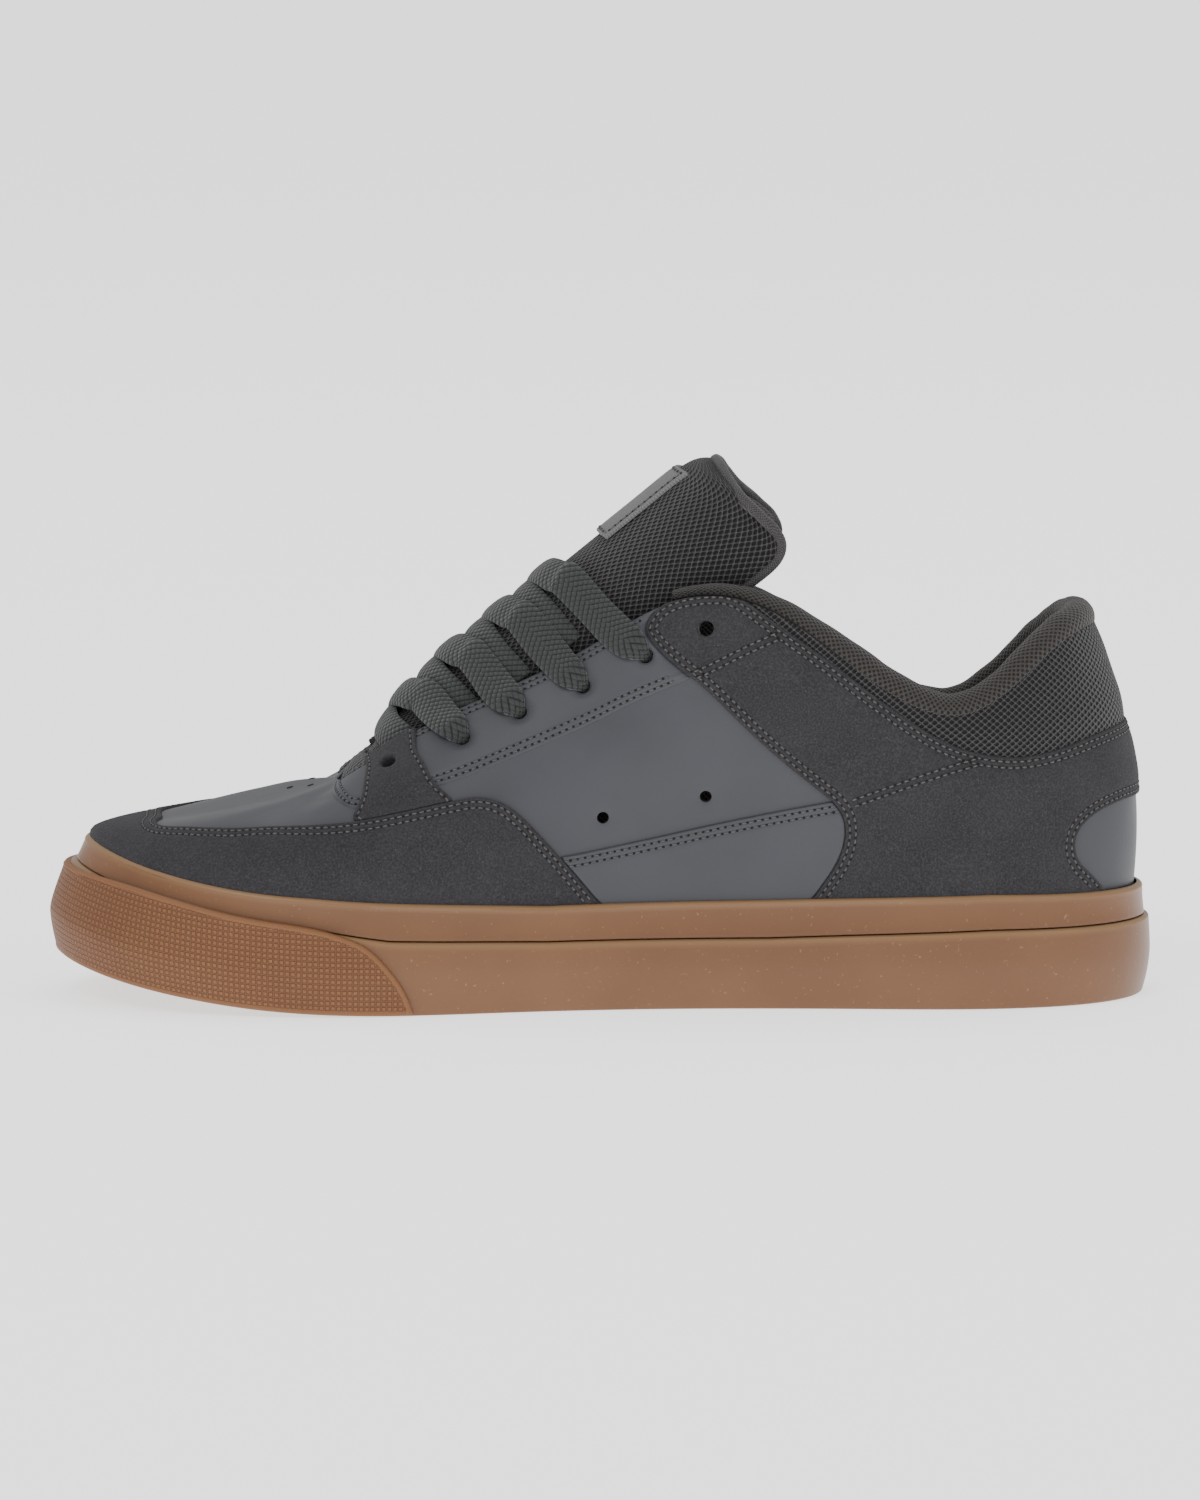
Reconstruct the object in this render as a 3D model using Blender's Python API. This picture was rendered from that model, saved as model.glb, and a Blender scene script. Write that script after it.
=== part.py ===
"""A low-cut, lace-up skateboarding shoe for the right foot, built as a maker lasts it.

The toe points to -X, the heel to +X, the inner (medial) side of the foot to -Y and up is +Z.
Sizes are in metres. The upper and the sole are worked out from one table of sections of the
last, so every overlay, strip and pad follows the same form.
"""

import math

import bmesh
import bpy
import numpy as np
from mathutils import Vector

# Driving sizes of the last and the shoe
SOLE_LENGTH = 0.299
BALL_WIDTH = 0.107
COLLAR_HEIGHT = 0.108
FOXING_HEIGHT = 0.031
TOE_SPRING = 0.012

# Thicknesses
GAP = 0.0003
SEAM_GAP = 2 * GAP
CURVE_GAP = 1.5 * GAP
FOXING_STEP = 0.0012
UPPER_STRIP_WALL = 0.0016
FOXING_WALL = FOXING_STEP + UPPER_STRIP_WALL
BUMPER_WALL = 0.0012
BUMPER_LIFT = 0.0006
BUMPER_SHARE = 0.90
STRIP_ROUND = 0.0008
UPPER_WALL = 0.0022
COLLAR_PAD = 0.0075
LATERAL_DIP = 0.0055
OVERLAY_WALL = 0.0011
EYESTAY_WALL = 0.0009
OUTSOLE_HEEL = 0.0140
OUTSOLE_TOE = 0.0090
INSOLE_HEEL = 0.0060
INSOLE_TOE = 0.0040
TREAD_DEPTH = 0.0020
TREAD_WIDTH = 0.0022
TREAD_PITCH = 0.0200
TREAD_BENDS = 6
TREAD_SWING = 0.32
TREAD_HALF_WIDTH = 0.58
TREAD_ZONES = ((0.05, 0.30), (0.50, 0.93))
LACE_WIDTH = 0.0085
LACE_THICKNESS = 0.0015

# The collar's padded roll, and the holes
ROLL_WIDTH = 0.0092
ROLL_RISE = 0.0050
ROLL_THINNEST = 0.40
ROLL_GROWTH = 0.15
ROLL_STEPS = 12
ROLL_SIDES = 7
PAD_DEPTH = 0.32
EYELET_RADIUS = 0.0020
VENT_RADIUS = 0.0018

# Where the toe spring and the sole's flat begin and end, as shares of the length from the heel
SPRING_START = 0.68
SPRING_POWER = 2.2
SOLE_TUCK = 0.0022
TUCK_SHARE = 0.45
TOE_LEAN = 0.0075
SIDE_LEAN = 0.0012
LEAN_START = 0.78
LEAN_FOOT = 0.35
LEAN_POWER = 1.2

# The centre line's bend towards the big toe: where it starts and its share of the ball's width
BEND_START = 0.45
BEND_SHARE = 0.033

# Where the collar's padding starts behind the throat, and over what share of the length it grows
PAD_START = 0.43
PAD_SPAN = 0.13

# One row for each section of the last, from the middle of the heel to the tip of the toe.
# along: share of the sole's length. medial, lateral, opening: shares of the ball's width.
# top_along: share of the sole's length. top: share of the collar's height.
# upright: how far the side starts straight up, against leaning along its chord.
# dip: share of the lateral dip, as the collar lies lower under the outer ankle bone.
# flat: how far it ends level, against ending along its chord. full_low, full_high: fullness.
SECTION_COLUMNS = (
    "along", "medial", "lateral",
    "top_along", "opening", "top", "dip",
    "upright", "flat", "full_low", "full_high",
)
SECTIONS = (
    (0.000, 0.000, 0.000, 0.056, 0.000, 0.940, 0.00, 1.55, 0.05, 0.54, 0.30),
    (0.023, 0.187, 0.187, 0.064, 0.130, 0.938, 0.10, 1.55, 0.05, 0.54, 0.30),
    (0.087, 0.320, 0.325, 0.102, 0.252, 0.878, 0.75, 1.40, 0.05, 0.44, 0.30),
    (0.180, 0.370, 0.385, 0.177, 0.318, 0.736, 1.00, 1.25, 0.05, 0.35, 0.33),
    (0.280, 0.362, 0.418, 0.267, 0.326, 0.835, 1.00, 1.20, 0.12, 0.33, 0.33),
    (0.380, 0.356, 0.450, 0.352, 0.312, 0.995, 0.90, 1.10, 0.18, 0.35, 0.33),
    (0.473, 0.370, 0.486, 0.437, 0.280, 1.012, 0.40, 1.05, 0.20, 0.36, 0.34),
    (0.567, 0.411, 0.514, 0.522, 0.240, 0.882, 0.10, 1.05, 0.16, 0.38, 0.35),
    (0.653, 0.463, 0.523, 0.613, 0.215, 0.760, 0.00, 1.05, 0.16, 0.40, 0.36),
    (0.733, 0.486, 0.515, 0.690, 0.180, 0.646, 0.00, 1.00, 0.30, 0.42, 0.38),
    (0.810, 0.478, 0.478, 0.733, 0.125, 0.556, 0.00, 0.85, 0.60, 0.36, 0.42),
    (0.880, 0.430, 0.412, 0.742, 0.000, 0.539, 0.00, 0.66, 0.95, 0.31, 0.48),
    (0.940, 0.342, 0.316, 0.757, 0.000, 0.525, 0.00, 0.52, 0.95, 0.25, 0.50),
    (0.983, 0.200, 0.165, 0.776, 0.000, 0.508, 0.00, 0.38, 0.95, 0.18, 0.52),
    (1.000, 0.020, -0.020, 0.788, 0.000, 0.498, 0.00, 0.30, 0.95, 0.14, 0.54),
)

# The foxing's top edge and the step in its side, as shares of the foxing's height above the bottom
FOXING_COLUMNS = ("along", "top", "step")
FOXING = (
    (0.00, 0.97, 0.69),
    (0.15, 1.00, 0.69),
    (0.35, 0.95, 0.62),
    (0.55, 0.92, 0.61),
    (0.69, 0.98, 0.65),
    (0.76, 1.01, 0.74),
    (0.90, 1.02, 0.80),
    (1.00, 1.01, 0.80),
)

# Outlines seen from the side. along: share of the sole's length from the heel.
# height: share of the collar's height.
TOE_CAP_EDGE = (
    (1.060, 0.418), (0.950, 0.422), (0.910, 0.430), (0.880, 0.437), (0.846, 0.446),
    (0.797, 0.455), (0.751, 0.466), (0.710, 0.481), (0.670, 0.504), (0.635, 0.525),
    (0.612, 0.534), (0.592, 0.522), (0.572, 0.484), (0.548, 0.413), (0.527, 0.346),
    (0.503, 0.266), (0.465, 0.150),
)
QUARTER_EDGE = (
    (0.350, 0.130), (0.311, 0.279), (0.292, 0.357), (0.284, 0.415), (0.284, 0.472),
    (0.293, 0.515), (0.310, 0.554), (0.341, 0.624), (0.375, 0.710), (0.409, 0.801),
    (0.439, 0.868), (0.458, 0.922), (0.460, 0.958), (0.447, 1.002), (0.424, 1.028),
    (0.398, 1.036), (0.378, 1.024), (0.358, 0.988), (0.342, 0.956), (0.308, 0.890),
    (0.274, 0.819), (0.240, 0.749), (0.206, 0.687), (0.178, 0.651), (0.151, 0.633),
    (0.123, 0.629), (0.095, 0.642), (0.067, 0.665), (0.029, 0.691), (-0.060, 0.730),
)
HEEL_PATCH_EDGE = (
    (-0.060, 0.515), (0.014, 0.505), (0.035, 0.499), (0.055, 0.480), (0.071, 0.444),
    (0.076, 0.402), (0.070, 0.353), (0.050, 0.289), (0.025, 0.150),
)
EYESTAY_EDGE = (
    (0.400, 0.850), (0.419, 0.828), (0.469, 0.769), (0.503, 0.722), (0.543, 0.672),
    (0.580, 0.629), (0.625, 0.580), (0.660, 0.551), (0.690, 0.526), (0.712, 0.509),
    (0.729, 0.509), (0.741, 0.526), (0.749, 0.550), (0.753, 0.610),
)
PANEL_EDGE = (
    (0.565, 0.370), (0.544, 0.382), (0.519, 0.393), (0.450, 0.432), (0.382, 0.473),
    (0.295, 0.520), (0.220, 0.556),
)
EYESTAY_TOP = ((0.700, 0.780), (0.560, 0.960), (0.470, 1.100))
TAB_EDGE = (
    (0.668, 0.700), (0.715, 0.645), (0.712, 0.600), (0.713, 0.555), (0.717, 0.515),
    (0.722, 0.478), (0.690, 0.455), (0.650, 0.470), (0.632, 0.515), (0.648, 0.561),
    (0.657, 0.597), (0.666, 0.634),
)
BUMPER_EDGE = (
    (0.667, -0.060), (0.668, -0.010), (0.677, 0.065), (0.692, 0.125), (0.711, 0.176),
    (0.735, 0.206), (0.770, 0.229), (0.830, 0.254), (0.900, 0.295), (0.955, 0.322),
    (1.040, 0.345),
)

# Lace holes from the toe end up, and the two vents of the medial side
HOLE_COLUMNS = ("along", "height")
LACE_HOLES = (
    (0.691, 0.601), (0.626, 0.672), (0.575, 0.737), (0.518, 0.803), (0.462, 0.881),
    (0.408, 0.950),
)
VENTS = ((0.500, 0.480), (0.408, 0.531))

# One row for each section of the tongue, from under the vamp to its free end.
# along, height: the ridge, as shares of the sole's length and the collar's height.
# half_width: share of the ball's width. drop: how far the arch falls to each side, as a share
# of the half width. reach: how much of the arch's side is there. thick: share of the thickness.
TONGUE_THICKNESS = 0.0085
TONGUE_TURN = math.radians(96)
TONGUE_SWEEP = 0.30
TONGUE_COLUMNS = ("along", "height", "half_width", "drop", "reach", "thick")
TONGUE = (
    (0.772, 0.500, 0.150, 0.35, 0.75, 0.40),
    (0.738, 0.519, 0.165, 0.55, 0.80, 0.50),
    (0.708, 0.628, 0.185, 0.85, 0.90, 0.60),
    (0.672, 0.762, 0.205, 1.10, 1.00, 0.75),
    (0.630, 0.871, 0.222, 1.20, 1.00, 0.85),
    (0.586, 0.968, 0.230, 1.22, 1.00, 0.95),
    (0.545, 1.062, 0.230, 1.25, 1.00, 1.00),
    (0.506, 1.155, 0.224, 1.30, 1.00, 1.00),
    (0.466, 1.245, 0.222, 1.33, 1.00, 1.00),
    (0.436, 1.312, 0.230, 1.30, 0.98, 0.90),
    (0.415, 1.346, 0.235, 1.20, 0.88, 0.60),
    (0.400, 1.354, 0.215, 1.15, 0.70, 0.30),
)
LABEL_ROWS = (7.05, 9.75)
LABEL_REACH = 0.33
LABEL_WALL = 0.0006

# Lace crossings, at rows of the tongue. Each strand's places on the medial side, on the ridge
# and on the lateral side, in rows up from the crossing's own row.
LACE_BAR_ROW = 1.85
LACE_BAR_REACH = 0.45
LACE_ROWS = (2.86, 3.87, 4.87, 5.86)
OVER_PATH = (0.05, 0.00, -0.95)
UNDER_PATH = (-0.95, -0.42, 0.05)
LACE_REACH = 0.62
LACE_LIFT = 0.0004
LACE_OVERLAP = 0.45

SPANS = len(SECTIONS) - 1
SIDE_STEPS = 2 * SPANS
PROFILE_STEPS = 6
EDGE_STEPS = 3
CUTTER_REACH = 0.090
PIN_LENGTH = 0.012
SAMPLE_ROWS = 4 * SIDE_STEPS
SAMPLE_STEPS = 40
MEDIAL, LATERAL = -1, 1

COLOURS = {
    "gum_rubber": ((0.30, 0.145, 0.070, 1.0), 0.55),
    "bumper_rubber": ((0.36, 0.170, 0.075, 1.0), 0.70),
    "leather": ((0.095, 0.098, 0.105, 1.0), 0.50),
    "suede": ((0.060, 0.058, 0.064, 1.0), 0.95),
    "mesh": ((0.050, 0.047, 0.050, 1.0), 0.90),
    "knit": ((0.075, 0.070, 0.068, 1.0), 0.90),
    "lace": ((0.085, 0.093, 0.092, 1.0), 0.90),
    "label": ((0.140, 0.135, 0.135, 1.0), 0.60),
    "footbed": ((0.045, 0.045, 0.048, 1.0), 0.90),
}


def remove_startup_objects():
    for obj in list(bpy.data.objects):
        bpy.data.objects.remove(obj)


def column(table, names, name):
    """One named column of a table as an array."""
    return np.array([row[names.index(name)] for row in table], float)


def natural_curve(values, at):
    """A smooth curve through values at 0, 1, 2..., read at the positions in at."""
    values = np.asarray(values, float)
    count = len(values)
    system = np.eye(count)
    right = np.zeros(count)
    for i in range(1, count - 1):
        system[i, i - 1:i + 2] = (1, 4, 1)
        right[i] = 6 * (values[i - 1] - 2 * values[i] + values[i + 1])
    return cubic_pieces(values, np.linalg.solve(system, right), at)


def mirrored_curve(values, at):
    """As natural_curve, but it meets its own mirror image smoothly at both ends."""
    values = np.asarray(values, float)
    return loop_curve(np.concatenate([values, values[-2:0:-1]]), at)


def loop_curve(loop, at):
    """A closed smooth curve through the values of loop at 0, 1, 2..."""
    size = len(loop)
    system = np.zeros((size, size))
    right = np.zeros(size)
    for i in range(size):
        system[i, i] = 4
        system[i, (i - 1) % size] = 1
        system[i, (i + 1) % size] = 1
        right[i] = 6 * (loop[i - 1] - 2 * loop[i] + loop[(i + 1) % size])
    bend = np.linalg.solve(system, right)
    closed = np.append(loop, loop[0])
    return cubic_pieces(closed, np.append(bend, bend[0]), np.asarray(at, float) % size)


def cubic_pieces(values, bend, at):
    at = np.asarray(at, float)
    first = np.clip(np.floor(at).astype(int), 0, len(values) - 2)
    t = at - first
    s = 1 - t
    low, high = values[first], values[first + 1]
    return (
        s * low + t * high
        + ((s ** 3 - s) * bend[first] + (t ** 3 - t) * bend[first + 1]) / 6
    )


def throat_curve(values, at):
    """A smooth curve that starts at right angles to the shoe's centre line and ends there too."""
    values = np.asarray(values, float)
    mirrored = np.concatenate([-values[:0:-1], values])
    return natural_curve(mirrored, [at + len(values) - 1])[0]


HEEL_X = (SOLE_LENGTH + BUMPER_WALL + CURVE_GAP) / 2


def x_at(along):
    return HEEL_X - along * SOLE_LENGTH


def along_at(x):
    return (HEEL_X - x) / SOLE_LENGTH


def bottom_height(along):
    """The sole's underside: flat from the heel to the ball, then the toe spring."""
    rise = np.clip((np.asarray(along, float) - SPRING_START) / (1 - SPRING_START), 0, None)
    return TOE_SPRING * rise ** SPRING_POWER


def foxing_height(along, name):
    shares = np.interp(
        np.clip(along, 0, 1), column(FOXING, FOXING_COLUMNS, "along"),
        column(FOXING, FOXING_COLUMNS, name),
    )
    return bottom_height(np.clip(along, 0, 1)) + FOXING_HEIGHT * shares


def platform_height(along):
    """The outsole's upper face, which the insole lies on."""
    share = np.clip(along, 0, 1)
    return bottom_height(share) + OUTSOLE_HEEL + (OUTSOLE_TOE - OUTSOLE_HEEL) * share


def insole_height(along):
    share = np.clip(along, 0, 1)
    thick = INSOLE_HEEL + (INSOLE_TOE - INSOLE_HEEL) * share
    return platform_height(share) + GAP + thick


class Last:
    """The last's loops, read at a station: 0 is the heel's middle and SPANS the toe's tip."""

    def __init__(self):
        along = column(SECTIONS, SECTION_COLUMNS, "along")
        medial = column(SECTIONS, SECTION_COLUMNS, "medial")
        lateral = column(SECTIONS, SECTION_COLUMNS, "lateral")
        self.loop_x = x_at(np.concatenate([along, along[-2:0:-1]]))
        self.loop_y = BALL_WIDTH * np.concatenate([-medial, lateral[-2:0:-1]])
        self.size = len(self.loop_x)
        fine = loop_curve(self.loop_y, np.arange(0, self.size, 0.1))
        self.middle = float(fine.max() + fine.min()) / 2
        self.loop_y = self.loop_y - self.middle

    def turn(self, station, side):
        """The station's place on the closed loop, medial side first."""
        return station if side == MEDIAL else self.size - station

    def outline(self, station, side, inset=0.0):
        """A point of the sole's outline in plan, moved inwards by inset, and its outward normal."""
        at = self.turn(station, side)
        step = 0.01
        x, y = (loop_curve(loop, [at - step, at, at + step]) for loop in (self.loop_x, self.loop_y))
        normal = np.array([y[0] - y[2], x[2] - x[0]])
        normal /= np.linalg.norm(normal)
        return np.array([x[1], y[1]]) - inset * normal, normal

    def value(self, name, station):
        return float(mirrored_curve(column(SECTIONS, SECTION_COLUMNS, name), [station])[0])

    def opening(self, station):
        """Half the width between the upper's top edges: nothing once the throat has closed."""
        shares = column(SECTIONS, SECTION_COLUMNS, "opening")
        throat = int(np.argmax(shares[1:] == 0)) + 1
        if station >= throat:
            return 0.0
        return BALL_WIDTH * float(throat_curve(shares[:throat + 1], station))


LAST = Last()


def side_lean(along):
    """How far the sole's side leans in from bottom to top: most at the toe."""
    toe = np.clip((along - LEAN_START) / (1 - LEAN_START), 0, 1)
    return SIDE_LEAN + (TOE_LEAN - SIDE_LEAN) * toe * toe * (3 - 2 * toe)


def side_inset(along, height):
    """How far the sole's side lies inside its outline: tucked under below, leaning in above."""
    share = (height - bottom_height(along)) / FOXING_HEIGHT
    tuck = SOLE_TUCK * np.clip(1 - share / TUCK_SHARE, 0, None) ** 2
    above = np.clip((share - LEAN_FOOT) / (1 - LEAN_FOOT), 0, None)
    return tuck + side_lean(along) * above ** LEAN_POWER


def core_inset(along, height):
    """As side_inset, but straight from bottom to top: the inner pieces follow it."""
    share = (height - bottom_height(along)) / FOXING_HEIGHT
    return SOLE_TUCK * (1 - share) + side_lean(along) * share


def placed(station, side, height, inset, depth):
    edge, _ = LAST.outline(station, side)
    along = float(along_at(edge[0]))
    point, _ = LAST.outline(station, side, inset(along, height) + depth)
    return Vector((point[0], point[1], height))


def side_point(station, side, height, depth):
    """A point of the sole's side wall at a height, depth inwards from its outer face."""
    return placed(station, side, height, side_inset, depth)


def core_point(station, side, height, depth):
    """A point of the straight faces inside the foxing, depth inwards from the outer face's ends."""
    return placed(station, side, height, core_inset, depth)


def station_along(station):
    edge, _ = LAST.outline(station, MEDIAL)
    return float(np.clip(along_at(edge[0]), 0, 1))


def spine_y(x):
    """The shoe's centre line bends towards the big toe."""
    share = np.clip((along_at(x) - BEND_START) / (1 - BEND_START), 0, 1)
    return -BEND_SHARE * BALL_WIDTH * share - LAST.middle


SKIRT_DEPTH = FOXING_WALL + SEAM_GAP
PANEL_FOOT = [(x_at(a), COLLAR_HEIGHT * b) for a, b in ((0.220, 0.200), (0.560, 0.200))]


def top_point(station, side):
    x = x_at(LAST.value("top_along", station))
    y = spine_y(x) + side * LAST.opening(station)
    dip = LATERAL_DIP * LAST.value("dip", station) if side == LATERAL else 0.0
    return Vector((x, y, COLLAR_HEIGHT * LAST.value("top", station) - dip))


def spine_slope(station):
    """The vamp's rise along the centre line."""
    step = 0.1
    station = min(station, SPANS - 4 * step)
    low, high = top_point(station - step, MEDIAL), top_point(station + step, MEDIAL)
    return (high.z - low.z) / (high.x - low.x)


def profile_handles(station, side):
    """The four handles of the curve that the upper follows from the foxing to its top edge."""
    along = station_along(station)
    height = float(foxing_height(along, "top")) + SEAM_GAP
    base = core_point(station, side, height, SKIRT_DEPTH)
    top = top_point(station, side)
    _, normal = LAST.outline(station, side)
    chord = top - base
    span = chord.length
    chord.normalize()
    up = Vector((0.0, 0.0, 1.0))
    slope = spine_slope(station) if station > SPANS - 4.5 else 0.0
    level = Vector((-normal[0], -normal[1], -normal[0] * slope)).normalized()
    upright = LAST.value("upright", station)
    flat = LAST.value("flat", station)
    start = (chord * (1 - upright) + up * upright).normalized()
    end = (chord * (1 - flat) + level * flat).normalized()
    return (
        base,
        base + start * span * LAST.value("full_low", station),
        top - end * span * LAST.value("full_high", station),
        top,
    )


def skirt_height(along):
    """The upper's lower edge, whose inner corner clears the outsole where the side leans."""
    tilt = (side_lean(along) - SOLE_TUCK) / FOXING_HEIGHT
    return float(platform_height(along)) + GAP + UPPER_WALL * max(0.0, float(tilt))


def bent_line(handles, steps):
    """The points of a cubic curve from its four handles."""
    a, b, c, d = handles
    points = []
    for i in range(steps + 1):
        t = i / steps
        s = 1 - t
        points.append(a * s ** 3 + b * (3 * s * s * t) + c * (3 * s * t * t) + d * t ** 3)
    return points


def upper_profile(station, side, beyond=0.0):
    """The upper's outer face at a station, from inside the foxing to beyond the top edge."""
    low = skirt_height(station_along(station))
    handles = profile_handles(station, side)
    curve = [core_point(station, side, low, SKIRT_DEPTH)] + bent_line(handles, PROFILE_STEPS)
    if beyond:
        at_edge = LAST.opening(station) > 0
        upwards = (handles[3] - handles[2]).normalized()
        curve.append(handles[3] + upwards * (beyond if at_edge else 0.0))
    return curve


def around():
    """Every station round the shoe, from the heel along the medial side and back."""
    steps = [SPANS * i / SIDE_STEPS for i in range(SIDE_STEPS + 1)]
    return [(s, MEDIAL) for s in steps] + [(s, LATERAL) for s in reversed(steps[1:-1])]


def material(name):
    found = bpy.data.materials.get(name)
    if found:
        return found
    colour, roughness = COLOURS[name]
    made = bpy.data.materials.new(name)
    made.use_nodes = True
    shader = made.node_tree.nodes["Principled BSDF"]
    shader.inputs["Base Color"].default_value = colour
    shader.inputs["Roughness"].default_value = roughness
    shader.inputs["Metallic"].default_value = 0.0
    return made


def finish_object(name, bm, finish, weld=2e-5):
    """Makes a named object from a bmesh, with doubles merged and faces pointing out."""
    bmesh.ops.remove_doubles(bm, verts=bm.verts, dist=weld)
    bmesh.ops.recalc_face_normals(bm, faces=bm.faces)
    mesh = bpy.data.meshes.new(name)
    bm.to_mesh(mesh)
    bm.free()
    obj = bpy.data.objects.new(name, mesh)
    bpy.context.scene.collection.objects.link(obj)
    if finish:
        mesh.materials.append(material(finish))
        mesh.shade_smooth()
        mesh.set_sharp_from_angle(angle=math.radians(40))
    return obj


def as_cutter(obj):
    obj.hide_render = True
    obj.display_type = "WIRE"
    return obj


def loft(rows, closed_rows, closed_ring):
    """A bmesh with a face between each two neighbouring points of each two neighbouring rows."""
    bm = bmesh.new()
    grid = [[bm.verts.new(point) for point in row] for row in rows]
    row_count = len(grid) if closed_rows else len(grid) - 1
    for i in range(row_count):
        here, there = grid[i], grid[(i + 1) % len(grid)]
        point_count = len(here) if closed_ring else len(here) - 1
        for j in range(point_count):
            k = (j + 1) % len(here)
            bm.faces.new((here[j], here[k], there[k], there[j]))
    return bm, grid


def cap_across(bm, ring):
    """Closes a ring round the shoe with strips from its medial to its lateral side."""
    size = len(ring)
    for i in range(size // 2):
        corners = [ring[i], ring[i + 1], ring[(size - i - 1) % size], ring[(size - i) % size]]
        unique = list(dict.fromkeys(corners))
        bm.faces.new(unique)


def plate(name, finish, levels):
    """A solid from rings round the shoe, lowest first, closed across below and above."""
    rings = [[level(station, side) for station, side in around()] for level in levels]
    bm, grid = loft(rings, closed_rows=False, closed_ring=True)
    cap_across(bm, grid[0])
    cap_across(bm, grid[-1])
    return finish_object(name, bm, finish)


def band(name, finish, section):
    """A closed band round the shoe. section gives the band's outline at a station."""
    rows = [section(station, side) for station, side in around()]
    bm, _ = loft(rows, closed_rows=True, closed_ring=True)
    return finish_object(name, bm, finish)


def smooth_outline(points, steps=EDGE_STEPS):
    """An open outline through side-view points, in metres, with a curve between them."""
    count = (len(points) - 1) * steps + 1
    at = np.linspace(0, len(points) - 1, count)
    x = x_at(natural_curve([p[0] for p in points], at))
    z = COLLAR_HEIGHT * natural_curve([p[1] for p in points], at)
    return [(float(a), float(b)) for a, b in zip(x, z)]


def side_cutter(name, outline, low=-CUTTER_REACH, high=CUTTER_REACH):
    """A prism through the shoe from side to side with an outline drawn in the side view."""
    bm = bmesh.new()
    near = [bm.verts.new((x, low, z)) for x, z in outline]
    face = bm.faces.new(near)
    pushed = bmesh.ops.extrude_face_region(bm, geom=[face])
    moved = [item for item in pushed["geom"] if isinstance(item, bmesh.types.BMVert)]
    bmesh.ops.translate(bm, verts=moved, vec=(0.0, high - low, 0.0))
    return as_cutter(finish_object(name, bm, None))


def cut(obj, cutter, operation):
    modifier = obj.modifiers.new(f"{operation.lower()}_{cutter.name}", "BOOLEAN")
    modifier.operation = operation
    modifier.object = cutter
    modifier.solver = "EXACT"
    return modifier


def upper_sheet(name, finish, first_row=0, lift=0.0, beyond=0.0):
    """The upper's outer face as one sheet, closed over the vamp and open at throat and collar."""
    rows = [upper_profile(station, side, beyond)[first_row:] for station, side in around()]
    bm, _ = loft(rows, closed_rows=True, closed_ring=False)
    bmesh.ops.triangulate(bm, faces=bm.faces, quad_method="FIXED")
    bmesh.ops.remove_doubles(bm, verts=bm.verts, dist=2e-5)
    bmesh.ops.recalc_face_normals(bm, faces=bm.faces)
    outward = sum(face.normal.y * face.calc_center_median().y for face in bm.faces)
    if outward < 0:
        bmesh.ops.reverse_faces(bm, faces=bm.faces)
    bm.normal_update()
    for vert in bm.verts:
        vert.co += vert.normal * lift
    mesh = bpy.data.meshes.new(name)
    bm.to_mesh(mesh)
    bm.free()
    obj = bpy.data.objects.new(name, mesh)
    bpy.context.scene.collection.objects.link(obj)
    mesh.materials.append(material(finish))
    mesh.shade_smooth()
    return obj


def give_wall(obj, thickness, outwards):
    wall = obj.modifiers.new("wall", "SOLIDIFY")
    wall.thickness = thickness
    wall.offset = 1.0 if outwards else -1.0
    wall.use_even_offset = False
    return wall


def surface_samples():
    """Points of the upper's outer face with their stations, for finding a place seen from the side."""
    found = {MEDIAL: [], LATERAL: []}
    for side in found:
        for i in range(SAMPLE_ROWS + 1):
            found[side] += bent_line(profile_handles(SPANS * i / SAMPLE_ROWS, side), SAMPLE_STEPS)
    return found


def surface_at(samples, x, z, side):
    """The upper's point nearest to a side-view place, and the outward direction there."""
    target = Vector((x, z))
    points = samples[side]
    index = min(range(len(points)), key=lambda i: (points[i].xz - target).length)
    width = SAMPLE_STEPS + 1
    row, place = divmod(index, width)
    row = min(max(row, 1), SAMPLE_ROWS - 1)
    place = min(max(place, 1), SAMPLE_STEPS - 1)
    point = points[index]
    run = points[(row + 1) * width + place] - points[(row - 1) * width + place]
    rise = points[row * width + place + 1] - points[row * width + place - 1]
    normal = run.cross(rise).normalized()
    if normal.y * side < 0:
        normal.negate()
    return point, normal


def hole_cutter(samples):
    """One mesh of pins through every lace hole and vent."""
    bm = bmesh.new()
    places = [(hole, side, EYELET_RADIUS) for hole in LACE_HOLES for side in (MEDIAL, LATERAL)]
    places += [(hole, MEDIAL, VENT_RADIUS) for hole in VENTS]
    for (along, height), side, radius in places:
        point, normal = surface_at(samples, x_at(along), COLLAR_HEIGHT * height, side)
        turn = normal.to_track_quat("Z", "Y").to_matrix().to_4x4()
        turn.translation = point
        bmesh.ops.create_cone(
            bm, cap_ends=True, segments=8, radius1=radius, radius2=radius, depth=PIN_LENGTH,
            matrix=turn,
        )
    return as_cutter(finish_object("hole_pins", bm, None))


def wall_at(point):
    """The upper's wall at a point of its outer face: thicker where the collar is padded."""
    along = along_at(point.x)
    back = np.clip((PAD_START - along) / PAD_SPAN, 0, 1)
    edge = np.interp(
        along, column(SECTIONS, SECTION_COLUMNS, "top_along"),
        column(SECTIONS, SECTION_COLUMNS, "top"),
    )
    below = (COLLAR_HEIGHT * edge - point.z) / (PAD_DEPTH * COLLAR_HEIGHT)
    near = np.clip(1 - below, 0, 1)
    near = near * near * (3 - 2 * near)
    return UPPER_WALL + (COLLAR_PAD - UPPER_WALL) * float(near * back)


def padded_wall(obj, extra):
    """Gives a sheet the upper's wall, and extra beyond it."""
    full = COLLAR_PAD + extra
    group = obj.vertex_groups.new(name="padding")
    for vert in obj.data.vertices:
        group.add([vert.index], (wall_at(vert.co) + extra) / full, "REPLACE")
    give_wall(obj, full, outwards=False).vertex_group = "padding"
    return obj


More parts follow.
